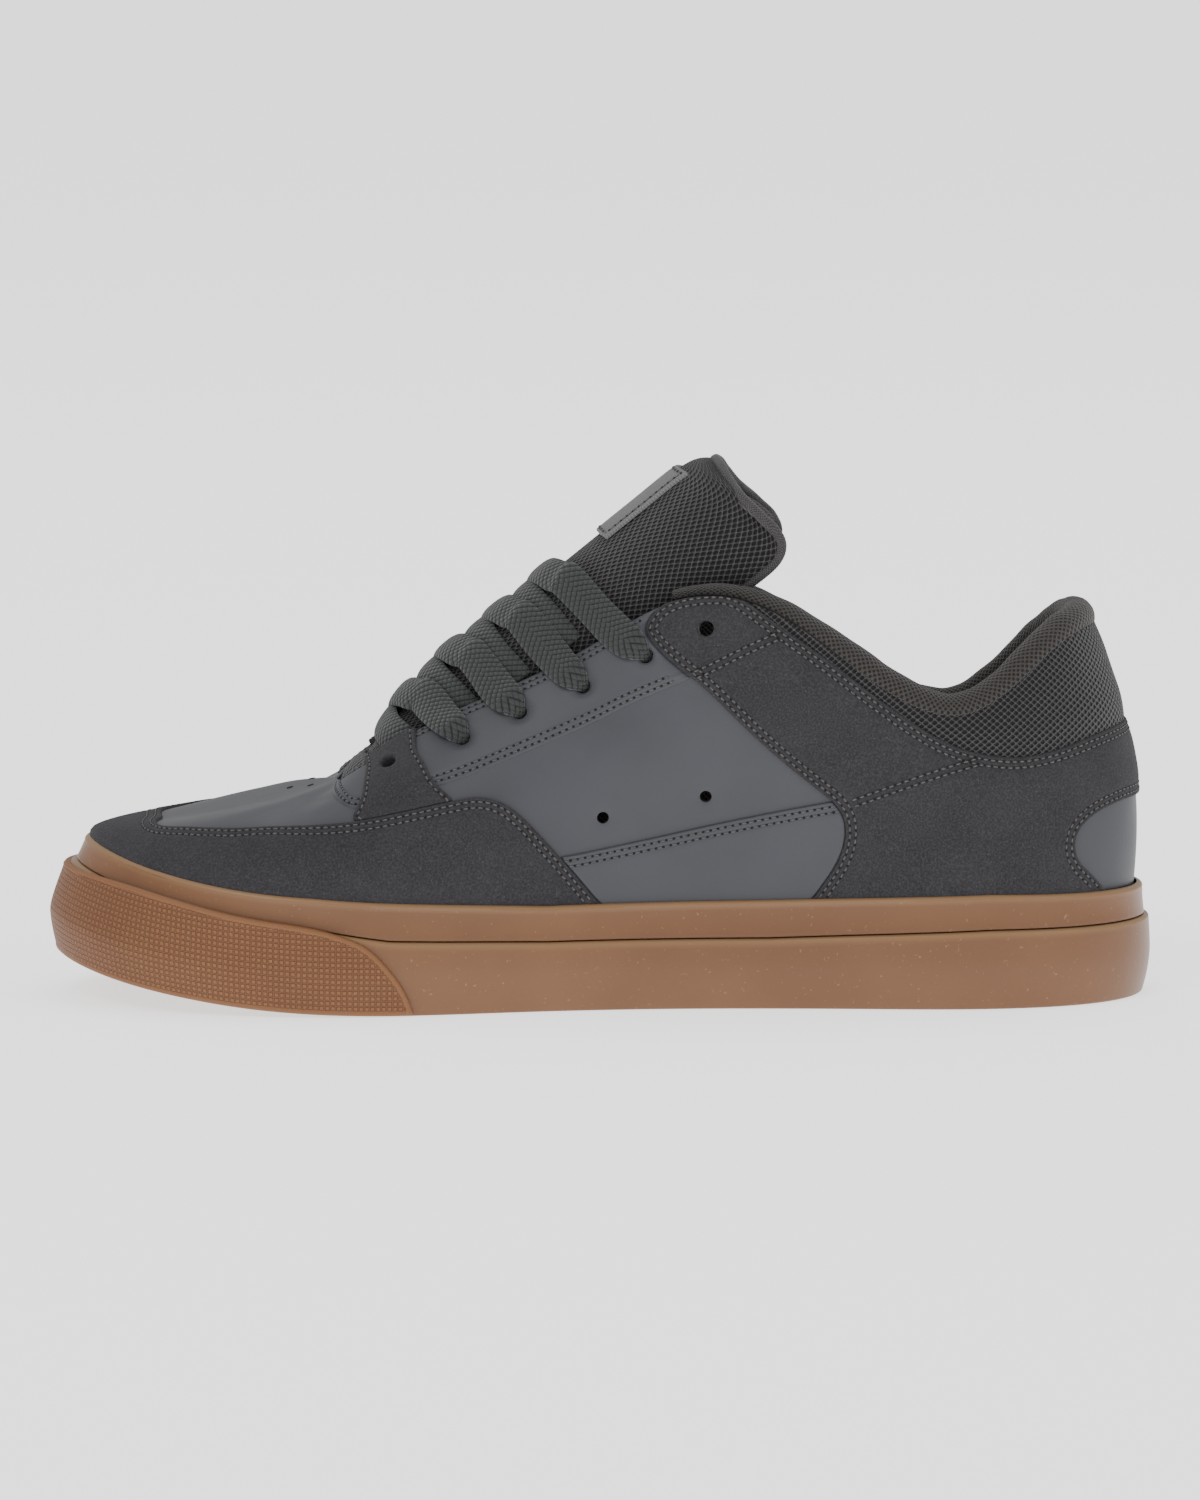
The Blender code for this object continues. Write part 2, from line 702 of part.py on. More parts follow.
def build_upper(pins):
    """The hollow upper: thin at the vamp and quarters, padded towards the collar."""
    obj = padded_wall(upper_sheet("upper", "leather"), 0.0)
    cut(obj, pins, "DIFFERENCE")


def clearance_form(name, height):
    """The room that the upper takes, with what is sewn on it up to a height, and a gap round it."""
    form = upper_sheet(name, "leather", lift=height + GAP, beyond=SEAM_GAP)
    return as_cutter(padded_wall(form, height + 2 * GAP))


def roll_solid(name, finish, room):
    """The padded roll along the collar's edge, with room added round it."""
    steps = [SPANS * i / SIDE_STEPS for i in range(ROLL_STEPS + 1)]
    stations = [(s, LATERAL) for s in reversed(steps[1:])] + [(s, MEDIAL) for s in steps]
    edge = [top_point(station, side) for station, side in stations]
    rows = []
    for i, (station, side) in enumerate(stations):
        _, normal = LAST.outline(station, side)
        run = (edge[min(i + 1, len(edge) - 1)] - edge[max(i - 1, 0)]).normalized()
        inward = Vector((-normal[0], -normal[1], 0.0))
        across = (inward - run * inward.dot(run)).normalized()
        up = run.cross(across)
        if up.z < 0:
            up.negate()
        full = min(1.0, ROLL_THINNEST + ROLL_GROWTH * min(i, len(edge) - 1 - i))
        half = ROLL_WIDTH / 2 * full + room
        middle = edge[i] + across * COLLAR_PAD / 2 + up * (SEAM_GAP - room)
        ring = []
        for j in range(ROLL_SIDES):
            turn = math.pi * j / (ROLL_SIDES - 1)
            rise = (ROLL_RISE * full + 2 * room) * math.sin(turn) ** 0.8
            ring.append(middle - across * half * math.cos(turn) + up * rise)
        rows.append(ring)
    return sheet_solid(name, finish, rows)


def overlay(name, finish, cutter, lift, wall):
    """A layer between two larger forms of the upper, kept where its side outline lies."""
    obj = upper_sheet(name, finish, first_row=1, lift=lift)
    give_wall(obj, wall, outwards=True)
    cut(obj, cutter, "INTERSECT")
    return obj


def moved_outline(outline, x, z):
    return [(a + x, b + z) for a, b in outline]


def build_overlays(pins):
    """The suede and leather pieces sewn on the upper, kept a gap apart where they meet."""
    toe_outline = smooth_outline(TOE_CAP_EDGE) + [(x_at(1.060), 0.150 * COLLAR_HEIGHT)]
    toe_form = side_cutter("toe_cap_form", toe_outline)
    toe_room = side_cutter("toe_cap_room", moved_outline(toe_outline, SEAM_GAP, SEAM_GAP))
    back_outline = smooth_outline(QUARTER_EDGE) + smooth_outline(HEEL_PATCH_EDGE)
    back_form = side_cutter("back_form", back_outline)
    back_room = side_cutter("back_room", moved_outline(back_outline, -SEAM_GAP, 0.0))
    stay_top = [(x_at(a), COLLAR_HEIGHT * b) for a, b in EYESTAY_TOP]
    stay_form = side_cutter("eyestay_form", smooth_outline(EYESTAY_EDGE) + stay_top)
    overlay("toe_cap", "suede", toe_form, GAP, OVERLAY_WALL)
    back = overlay("back_quarter", "suede", back_form, GAP, OVERLAY_WALL)
    cut(back, pins, "DIFFERENCE")
    stay = overlay("eyestay", "leather", stay_form, GAP, EYESTAY_WALL)
    cut(stay, pins, "DIFFERENCE")
    cut(stay, back_room, "DIFFERENCE")

    for side, low, high in (("medial", -CUTTER_REACH, 0.0), ("lateral", 0.0, CUTTER_REACH)):
        tab_form = side_cutter(f"lace_tab_form_{side}", smooth_outline(TAB_EDGE), low, high)
        tab = overlay(f"lace_tab_{side}", "suede", tab_form, 2 * GAP + EYESTAY_WALL, OVERLAY_WALL)
        cut(tab, toe_room, "DIFFERENCE")
        cut(tab, pins, "DIFFERENCE")
        panel_outline = smooth_outline(PANEL_EDGE) + PANEL_FOOT
        panel_form = side_cutter(f"side_panel_form_{side}", panel_outline, low, high)
        panel = overlay(f"side_panel_{side}", "leather", panel_form, GAP, EYESTAY_WALL)
        cut(panel, back_room, "DIFFERENCE")
        cut(panel, toe_room, "DIFFERENCE")


def build_sole():
    """Outsole, the two foxing strips and the toe bumper."""

    def outsole_level(share):
        def ring(station, side):
            along = station_along(station)
            low, high = float(bottom_height(along)), float(platform_height(along))
            return core_point(station, side, low + (high - low) * share, FOXING_WALL + CURVE_GAP)
        return ring

    outsole = plate("outsole", "gum_rubber", [outsole_level(0.0), outsole_level(1.0)])
    cut(outsole, tread_cutter(), "DIFFERENCE")
    band("foxing_lower", "gum_rubber", lower_strip)
    band("foxing_upper", "gum_rubber", upper_strip)
    bumper = band("toe_bumper", "bumper_rubber", bumper_strip)
    low = -0.050 * COLLAR_HEIGHT
    edge = smooth_outline(BUMPER_EDGE) + [(x_at(1.040), low)]
    cut(bumper, side_cutter("bumper_form", edge), "INTERSECT")


def strip_heights(along):
    """Heights of the lower strip's outer face, its top edge last."""
    low = float(bottom_height(along))
    heights = [low + FOXING_HEIGHT * share for share in (0.0, 0.2, TUCK_SHARE)]
    return heights + [float(foxing_height(along, "step"))]


def lower_strip(station, side):
    heights = strip_heights(station_along(station))
    low, high = heights[0], heights[-1]
    outer = [side_point(station, side, height, 0.0) for height in heights[:-1]]
    outer.append(side_point(station, side, high - STRIP_ROUND, 0.0))
    outer.append(side_point(station, side, high, STRIP_ROUND))
    outer.append(core_point(station, side, high, FOXING_WALL))
    outer.append(core_point(station, side, low, FOXING_WALL))
    return outer


def upper_strip(station, side):
    along = station_along(station)
    low = float(foxing_height(along, "step")) + GAP
    high = float(foxing_height(along, "top"))
    return [
        side_point(station, side, low, FOXING_STEP),
        side_point(station, side, high - STRIP_ROUND, FOXING_STEP),
        side_point(station, side, high, FOXING_STEP + STRIP_ROUND),
        core_point(station, side, high, FOXING_WALL),
        core_point(station, side, low, FOXING_WALL),
    ]


def bumper_strip(station, side):
    heights = strip_heights(station_along(station))
    heights[0] += BUMPER_LIFT
    heights[-1] -= STRIP_ROUND
    heights.append(heights[0] + BUMPER_SHARE * FOXING_HEIGHT)
    outer = [side_point(station, side, height, -CURVE_GAP - BUMPER_WALL) for height in heights]
    inner = [side_point(station, side, height, -CURVE_GAP) for height in reversed(heights)]
    return outer + inner


def tread_cutter():
    """Zigzag grooves across the forefoot and the heel."""
    bm = bmesh.new()
    reach = TREAD_HALF_WIDTH * BALL_WIDTH
    below = -2 * TREAD_DEPTH
    for first, last in TREAD_ZONES:
        count = int((last - first) * SOLE_LENGTH / TREAD_PITCH)
        for i in range(count + 1):
            x = x_at(first) - i * TREAD_PITCH
            top = float(bottom_height(along_at(x))) + TREAD_DEPTH
            path = []
            for j in range(TREAD_BENDS + 1):
                swing = TREAD_PITCH * TREAD_SWING * (1 if j % 2 else -1)
                path.append((x + swing, -reach + 2 * reach * j / TREAD_BENDS))
            half = TREAD_WIDTH / 2
            outline = [(px - half, py) for px, py in path]
            outline += [(px + half, py) for px, py in reversed(path)]
            face = bm.faces.new([bm.verts.new((px, py, below)) for px, py in outline])
            pushed = bmesh.ops.extrude_face_region(bm, geom=[face])
            moved = [item for item in pushed["geom"] if isinstance(item, bmesh.types.BMVert)]
            bmesh.ops.translate(bm, verts=moved, vec=(0.0, 0.0, top - below))
    return as_cutter(finish_object("tread_form", bm, None))


def build_insole():
    """The footbed, lying on the outsole inside the upper's wall."""
    inset = SKIRT_DEPTH + UPPER_WALL + 2 * SEAM_GAP

    def lower(station, side):
        height = float(platform_height(station_along(station))) + GAP
        return core_point(station, side, height, inset)

    def upper(station, side):
        height = float(insole_height(station_along(station)))
        return core_point(station, side, height, inset)

    plate("insole", "footbed", [lower, upper])


def tongue_value(name, at):
    return float(natural_curve(column(TONGUE, TONGUE_COLUMNS, name), [at])[0])


def tongue_frame(at):
    """The ridge point of the tongue at a row, its run upwards and its outward normal."""
    step = 0.05

    def ridge(row):
        x = x_at(tongue_value("along", row))
        return Vector((x, spine_y(x), COLLAR_HEIGHT * tongue_value("height", row)))

    low, high = max(at - step, 0), min(at + step, len(TONGUE) - 1)
    run = (ridge(high) - ridge(low)).normalized()
    return ridge(at), run, Vector((-run.z, 0.0, run.x)).normalized()


def tongue_point(at, across, lift=0.0):
    """A point of the tongue's outer face. across is -1 at the medial and 1 at the lateral edge."""
    centre, run, normal = tongue_frame(at)
    half = BALL_WIDTH * tongue_value("half_width", at)
    drop = half * tongue_value("drop", at)
    turn = across * TONGUE_TURN
    outward = normal * (math.cos(turn) / drop) + Vector((0.0, math.sin(turn) / half, 0.0))
    fall = normal * drop * (1 - math.cos(turn)) - run * half * TONGUE_SWEEP * math.sin(turn) ** 2
    sideways = Vector((0.0, half * math.sin(turn), 0.0))
    return centre + sideways - fall + outward.normalized() * lift


def sheet_solid(name, finish, rows):
    """A solid from closed sections, flat at both ends."""
    bm, grid = loft(rows, closed_rows=False, closed_ring=True)
    bm.faces.new(grid[0])
    bm.faces.new(list(reversed(grid[-1])))
    return finish_object(name, bm, finish)


def build_tongue(clearances):
    """The padded tongue, arched over the instep and fitted under the vamp and eyestays."""
    across_steps = 8
    row_steps = 2 * (len(TONGUE) - 1)
    rows = []
    for i in range(row_steps + 1):
        at = i / 2
        thick = TONGUE_THICKNESS * tongue_value("thick", at)
        reach = tongue_value("reach", at)
        outer, under = [], []
        for j in range(across_steps + 1):
            across = 2 * j / across_steps - 1
            full = thick * (1 - 0.5 * abs(across) ** 3)
            outer.append(tongue_point(at, across * reach))
            under.append(tongue_point(at, across * reach, -full))
        rows.append(outer + under[::-1])
    tongue = sheet_solid("tongue", "mesh", rows)
    for room in clearances:
        cut(tongue, room, "DIFFERENCE")


def rows_for(length, at):
    """How many rows of the tongue a length along its ridge spans."""
    step = 0.1
    ridge = tongue_frame(at + step)[0] - tongue_frame(at - step)[0]
    return length / (ridge.length / (2 * step))


def lace_strand(name, path, lift, reach):
    """A flat lace over the tongue's arch. path gives the row at a place across it."""
    steps = 8
    rows = []
    for i in range(steps + 1):
        across = reach * (2 * i / steps - 1)
        at = path(across)
        half = rows_for(LACE_WIDTH / 2, at)
        edges = ((-half, 0.0), (half, 0.0), (half, LACE_THICKNESS), (-half, LACE_THICKNESS))
        rows.append([tongue_point(at + place, across, lift + rise) for place, rise in edges])
    return sheet_solid(name, "lace", rows)


def build_label():
    """The woven label, sewn flat on the tongue below its free end."""
    steps = 6
    first, last = LABEL_ROWS
    rows = []
    for i in range(steps + 1):
        at = first + (last - first) * i / steps
        shares = [LABEL_REACH * (2 * j / steps - 1) for j in range(steps + 1)]
        low = [tongue_point(at, share, GAP) for share in shares]
        high = [tongue_point(at, share, GAP + LABEL_WALL) for share in reversed(shares)]
        rows.append(low + high)
    sheet_solid("tongue_label", "label", rows)


def lace_path(row, places):
    medial, ridge, lateral = places
    bow = (medial + lateral) / 2 - ridge

    def path(across):
        return row + ridge + (lateral - medial) / 2 * across + bow * across * across

    return path


def build_lace(room):
    """A straight bar at the foot of the throat and four crossings, joined where they touch."""
    bar = lace_path(LACE_BAR_ROW, (0.0, 0.0, 0.0))
    lace = lace_strand("lace", bar, LACE_LIFT, LACE_BAR_REACH)
    above = LACE_LIFT + LACE_THICKNESS * (1 - LACE_OVERLAP)
    for number, row in enumerate(LACE_ROWS, start=1):
        for name, places, lift in (("under", UNDER_PATH, LACE_LIFT), ("over", OVER_PATH, above)):
            strand = lace_strand(f"lace_{name}_{number}", lace_path(row, places), lift, LACE_REACH)
            cut(lace, as_cutter(strand), "UNION")
    cut(lace, room, "DIFFERENCE")


def main():
    remove_startup_objects()
    samples = surface_samples()
    pins = hole_cutter(samples)
    build_sole()
    build_insole()
    build_upper(pins)
    roll_solid("collar_roll", "knit", 0.0)
    build_overlays(pins)
    roll_room = as_cutter(roll_solid("roll_room", None, GAP))
    build_tongue([clearance_form("tongue_room", 0.0), roll_room])
    build_label()
    build_lace(clearance_form("lace_room", SEAM_GAP + EYESTAY_WALL + OVERLAY_WALL))


main()
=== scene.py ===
# %% [markdown]
# # A skateboarding shoe, dressed for its portrait
#
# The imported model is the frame: plain solids in metres, with the toe towards -X, the inner side of
# the foot towards -Y and up along +Z. Every cell below replaces one of its solids with a finished
# piece, or gives it a real material. The last (the foot-shaped form that a shoe is built on) is
# described once, and all leather, suede and rubber pieces are drawn on it.

# %% Load the frame
import math

import bmesh
import bpy
import numpy as np
from mathutils import Matrix, Vector


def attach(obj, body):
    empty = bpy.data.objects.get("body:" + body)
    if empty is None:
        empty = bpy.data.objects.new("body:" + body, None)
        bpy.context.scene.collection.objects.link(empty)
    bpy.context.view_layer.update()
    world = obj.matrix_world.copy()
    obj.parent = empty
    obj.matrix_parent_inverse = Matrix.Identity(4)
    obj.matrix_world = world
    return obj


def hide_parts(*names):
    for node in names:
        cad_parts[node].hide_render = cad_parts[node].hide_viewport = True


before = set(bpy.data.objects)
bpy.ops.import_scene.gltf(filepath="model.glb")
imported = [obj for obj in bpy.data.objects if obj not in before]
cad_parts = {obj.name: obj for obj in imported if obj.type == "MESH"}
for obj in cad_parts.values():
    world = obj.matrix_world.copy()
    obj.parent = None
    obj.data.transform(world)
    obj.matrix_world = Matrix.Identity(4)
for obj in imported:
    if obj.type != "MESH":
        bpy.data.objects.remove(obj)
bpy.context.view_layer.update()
print("solids in the frame:", sorted(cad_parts))


# %% [markdown]
# ## Camera, floor and light
#
# The photograph is a side view from a little above, taken from far away with a long lens. The
# camera stands 2 m off, 7 degrees up. The studio is plain: a pale floor that runs out of sight,
# soft even light from everywhere, and three large soft lamps that draw the long highlights. The
# floor glows a little of its own, so that it runs into the pale background.

# %% Camera, floor and light
MM = 0.001
CAMERA_DISTANCE = 2.0
CAMERA_ELEVATION = math.radians(7)
CAMERA_TARGET = Vector((0.0, 0.0, 0.0655))
CAMERA_LENS_MM = 176
SENSOR_MM = 36


def add_camera():
    data = bpy.data.cameras.new("camera")
    data.sensor_fit = "VERTICAL"
    data.sensor_height = SENSOR_MM
    data.lens = CAMERA_LENS_MM
    camera = bpy.data.objects.new("camera", data)
    back = Vector((0.0, -math.cos(CAMERA_ELEVATION), math.sin(CAMERA_ELEVATION)))
    camera.location = CAMERA_TARGET + back * CAMERA_DISTANCE
    camera.rotation_euler = back.to_track_quat("Z", "Y").to_euler()
    bpy.context.scene.collection.objects.link(camera)
    bpy.context.scene.camera = camera


def linear(code):
    """A hex sRGB colour as the linear colour that a shader wants."""
    parts = [int(code[i:i + 2], 16) / 255 for i in (1, 3, 5)]
    return tuple(p / 12.92 if p <= 0.04045 else ((p + 0.055) / 1.055) ** 2.4 for p in parts) + (1.0,)


def add(tree, kind, inputs=None, **settings):
    """Adds a shader node. inputs gives a value or another node's output for each socket."""
    node = tree.nodes.new("ShaderNode" + kind)
    for key, value in settings.items():
        setattr(node, key, value)
    for key, value in (inputs or {}).items():
        if isinstance(value, bpy.types.NodeSocket):
            tree.links.new(value, node.inputs[key])
        else:
            node.inputs[key].default_value = value
    return node


def add_area(name, place, aim, size, power):
    data = bpy.data.lights.new(name, "AREA")
    data.shape = "RECTANGLE"
    data.size, data.size_y = size
    data.energy = power
    lamp = bpy.data.objects.new(name, data)
    lamp.location = place
    lamp.rotation_euler = (Vector(place) - Vector(aim)).to_track_quat("Z", "Y").to_euler()
    bpy.context.scene.collection.objects.link(lamp)


FLOOR_GLOW = 1.25


def add_studio():
    world = bpy.data.worlds.new("studio")
    world.use_nodes = True
    world.node_tree.nodes["Background"].inputs["Color"].default_value = linear("#F4F4F4")
    world.node_tree.nodes["Background"].inputs["Strength"].default_value = 0.85
    bpy.context.scene.world = world
    add_area("key_lamp", (-1.2, -2.4, 2.6), (0, 0, 0.05), (2.0, 1.2), 36)
    add_area("fill_lamp", (2.2, -2.0, 1.6), (0, 0, 0.05), (1.4, 1.4), 13)
    add_area("top_lamp", (0.2, 1.2, 3.0), (0, 0, 0.05), (2.4, 1.6), 26)

    bm = bmesh.new()
    bmesh.ops.create_grid(bm, x_segments=2, y_segments=2, size=40.0)
    mesh = bpy.data.meshes.new("floor")
    bm.to_mesh(mesh)
    bm.free()
    floor = bpy.data.objects.new("floor", mesh)
    bpy.context.scene.collection.objects.link(floor)
    paint = bpy.data.materials.new("painted_studio_floor")
    paint.use_nodes = True
    shader = paint.node_tree.nodes["Principled BSDF"]
    shader.inputs["Base Color"].default_value = linear("#E2E2E2")
    shader.inputs["Roughness"].default_value = 0.9
    shader.inputs["Specular IOR Level"].default_value = 0.0
    shader.inputs["Emission Color"].default_value = linear("#FFFFFF")
    shader.inputs["Emission Strength"].default_value = FLOOR_GLOW
    mesh.materials.append(paint)


add_camera()
add_studio()
print("camera", CAMERA_DISTANCE, "m away")


# %% [markdown]
# ## The last
#
# A shoe takes its form from its last. One row of the table is one section: how far the sole
# reaches to each side, where the upper ends, and how full the side is in between. Smooth curves
# run through the rows, so the surface can be read anywhere, as finely as a piece needs.

# %% The last's sizes and sections
SOLE_LENGTH = 0.299
BALL_WIDTH = 0.107
COLLAR_HEIGHT = 0.108
FOXING_HEIGHT = 0.031
TOE_SPRING = 0.012
GAP = 0.0003
SEAM_GAP = 2 * GAP
CURVE_GAP = 1.5 * GAP
FOXING_STEP = 0.0012
UPPER_STRIP_WALL = 0.0016
FOXING_WALL = FOXING_STEP + UPPER_STRIP_WALL
BUMPER_WALL = 0.0012
BUMPER_LIFT = 0.0006
UPPER_WALL = 0.0022
COLLAR_PAD = 0.0075
LATERAL_DIP = 0.0055
PAD_DEPTH = 0.32
OVERLAY_WALL = 0.0011
EYESTAY_WALL = 0.0009
OUTSOLE_HEEL, OUTSOLE_TOE = 0.0140, 0.0090
INSOLE_HEEL, INSOLE_TOE = 0.0060, 0.0040
SPRING_START, SPRING_POWER = 0.68, 2.2
SOLE_TUCK, TUCK_SHARE = 0.0022, 0.45
TOE_LEAN, SIDE_LEAN = 0.0075, 0.0012
SKIRT_DEPTH = FOXING_WALL + SEAM_GAP
HEEL_X = (SOLE_LENGTH + BUMPER_WALL + CURVE_GAP) / 2

SECTION_COLUMNS = (
    "along", "medial", "lateral", "top_along", "opening", "top", "dip", "upright", "flat",
    "full_low", "full_high",
)
SECTIONS = np.array((
    (0.000, 0.000, 0.000, 0.056, 0.000, 0.940, 0.00, 1.55, 0.05, 0.54, 0.30),
    (0.023, 0.187, 0.187, 0.064, 0.130, 0.938, 0.10, 1.55, 0.05, 0.54, 0.30),
    (0.087, 0.320, 0.325, 0.102, 0.252, 0.878, 0.75, 1.40, 0.05, 0.44, 0.30),
    (0.180, 0.370, 0.385, 0.177, 0.318, 0.736, 1.00, 1.25, 0.05, 0.35, 0.33),
    (0.280, 0.362, 0.418, 0.267, 0.326, 0.835, 1.00, 1.20, 0.12, 0.33, 0.33),
    (0.380, 0.356, 0.450, 0.352, 0.312, 0.995, 0.90, 1.10, 0.18, 0.35, 0.33),
    (0.473, 0.370, 0.486, 0.437, 0.280, 1.012, 0.40, 1.05, 0.20, 0.36, 0.34),
    (0.567, 0.411, 0.514, 0.522, 0.240, 0.882, 0.10, 1.05, 0.16, 0.38, 0.35),
    (0.653, 0.463, 0.523, 0.613, 0.215, 0.760, 0.00, 1.05, 0.16, 0.40, 0.36),
    (0.733, 0.486, 0.515, 0.690, 0.180, 0.646, 0.00, 1.00, 0.30, 0.42, 0.38),
    (0.810, 0.478, 0.478, 0.733, 0.125, 0.556, 0.00, 0.85, 0.60, 0.36, 0.42),
    (0.880, 0.430, 0.412, 0.742, 0.000, 0.539, 0.00, 0.66, 0.95, 0.31, 0.48),
    (0.940, 0.342, 0.316, 0.757, 0.000, 0.525, 0.00, 0.52, 0.95, 0.25, 0.50),
    (0.983, 0.200, 0.165, 0.776, 0.000, 0.508, 0.00, 0.38, 0.95, 0.18, 0.52),
    (1.000, 0.020, -0.020, 0.788, 0.000, 0.498, 0.00, 0.30, 0.95, 0.14, 0.54),
))
SECTION = dict(zip(SECTION_COLUMNS, SECTIONS.T))
SPANS = len(SECTIONS) - 1
LOOP = 2 * SPANS
THROAT = int(np.argmax(SECTION["opening"][1:] == 0)) + 1

FOXING_ALONG = (0.00, 0.15, 0.35, 0.55, 0.69, 0.76, 0.90, 1.00)
FOXING_TOP = (0.97, 1.00, 0.95, 0.92, 0.98, 1.01, 1.02, 1.01)
FOXING_SPLIT = (0.69, 0.69, 0.62, 0.61, 0.65, 0.74, 0.80, 0.80)


def cubic_pieces(values, bend, at):
    first = np.clip(np.floor(at).astype(int), 0, len(values) - 2)
    t = at - first
    s = 1 - t
    return (
        s * values[first] + t * values[first + 1]
        + ((s ** 3 - s) * bend[first] + (t ** 3 - t) * bend[first + 1]) / 6
    )


def natural_curve(values, at):
    """A smooth open curve through values at 0, 1, 2..."""
    values, at = np.asarray(values, float), np.asarray(at, float)
    count = len(values)
    system, right = np.eye(count), np.zeros(count)
    for i in range(1, count - 1):
        system[i, i - 1:i + 2] = (1, 4, 1)
        right[i] = 6 * (values[i - 1] - 2 * values[i] + values[i + 1])
    return cubic_pieces(values, np.linalg.solve(system, right), at)


def loop_curve(loop, at):
    """A smooth closed curve through values at 0, 1, 2..."""
    size = len(loop)
    system = 4 * np.eye(size) + np.roll(np.eye(size), 1, 0) + np.roll(np.eye(size), -1, 0)
    right = 6 * (np.roll(loop, 1) - 2 * loop + np.roll(loop, -1))
    bend = np.linalg.solve(system, right)
    closed = np.append(loop, loop[0])
    return cubic_pieces(closed, np.append(bend, bend[0]), np.asarray(at, float) % size)


def mirrored_curve(values, at):
    return loop_curve(np.concatenate([values, values[-2:0:-1]]), at)


def x_at(along):
    return HEEL_X - np.asarray(along) * SOLE_LENGTH


def along_at(x):
    return (HEEL_X - np.asarray(x)) / SOLE_LENGTH


LOOP_X = x_at(np.concatenate([SECTION["along"], SECTION["along"][-2:0:-1]]))
LOOP_Y = BALL_WIDTH * np.concatenate([-SECTION["medial"], SECTION["lateral"][-2:0:-1]])
LOOP_FINE = loop_curve(LOOP_Y, np.arange(0, LOOP, 0.1))
MIDDLE = float(LOOP_FINE.max() + LOOP_FINE.min()) / 2
LOOP_Y = LOOP_Y - MIDDLE


def outline(turn):
    """Points of the sole's outline in plan, and their outward normals, at turns round the shoe."""
    step = 0.01
    x = [loop_curve(LOOP_X, turn + d) for d in (-step, 0, step)]
    y = [loop_curve(LOOP_Y, turn + d) for d in (-step, 0, step)]
    normal = np.stack([y[0] - y[2], x[2] - x[0]], -1)
    normal /= np.linalg.norm(normal, axis=-1, keepdims=True)
    return np.stack([x[1], y[1]], -1), normal


def station_of(turn):
    turn = np.asarray(turn, float) % LOOP
    return np.minimum(turn, LOOP - turn)


def side_of(turn):
    return np.where(np.asarray(turn) % LOOP <= SPANS, -1.0, 1.0)


def along_turn(turn):
    return np.clip(along_at(outline(turn)[0][..., 0]), 0, 1)


def bottom_height(along):
    rise = np.clip((np.asarray(along, float) - SPRING_START) / (1 - SPRING_START), 0, None)
    return TOE_SPRING * rise ** SPRING_POWER


def foxing_height(along, shares):
    return bottom_height(along) + FOXING_HEIGHT * np.interp(along, FOXING_ALONG, shares)


def platform_height(along):
    return bottom_height(along) + OUTSOLE_HEEL + (OUTSOLE_TOE - OUTSOLE_HEEL) * along


def side_lean(along):
    toe = np.clip((along - 0.78) / 0.22, 0, 1)
    return SIDE_LEAN + (TOE_LEAN - SIDE_LEAN) * toe * toe * (3 - 2 * toe)


def side_inset(along, height):
    share = (height - bottom_height(along)) / FOXING_HEIGHT
    tuck = SOLE_TUCK * np.clip(1 - share / TUCK_SHARE, 0, None) ** 2
    return tuck + side_lean(along) * np.clip((share - 0.35) / 0.65, 0, None) ** 1.2


def core_inset(along, height):
    share = (height - bottom_height(along)) / FOXING_HEIGHT
    return SOLE_TUCK * (1 - share) + side_lean(along) * share


def sole_point(turn, height, depth, inset=side_inset):
    """Points at turns and heights, depth inwards from the sole's side."""
    edge, normal = outline(turn)
    along = np.clip(along_at(edge[..., 0]), 0, 1)
    inwards = (inset(along, height) + depth)[..., None] * normal
    return np.concatenate([edge - inwards, height[..., None]], -1)


def spine_y(x):
    share = np.clip((along_at(x) - 0.45) / 0.55, 0, 1)
    return -0.033 * BALL_WIDTH * share - MIDDLE


def opening(station):
    shares = SECTION["opening"][:THROAT + 1]
    odd = np.concatenate([-shares[:0:-1], shares])
    wide = natural_curve(odd, np.minimum(station, THROAT) + len(shares) - 1)
    return np.where(station >= THROAT, 0.0, BALL_WIDTH * wide)


def top_point(turn):
    station = station_of(turn)
    x = x_at(mirrored_curve(SECTION["top_along"], station))
    y = spine_y(x) + side_of(turn) * opening(station)
    dip = np.where(side_of(turn) > 0, LATERAL_DIP * mirrored_curve(SECTION["dip"], station), 0.0)
    return np.stack([x, y, COLLAR_HEIGHT * mirrored_curve(SECTION["top"], station) - dip], -1)


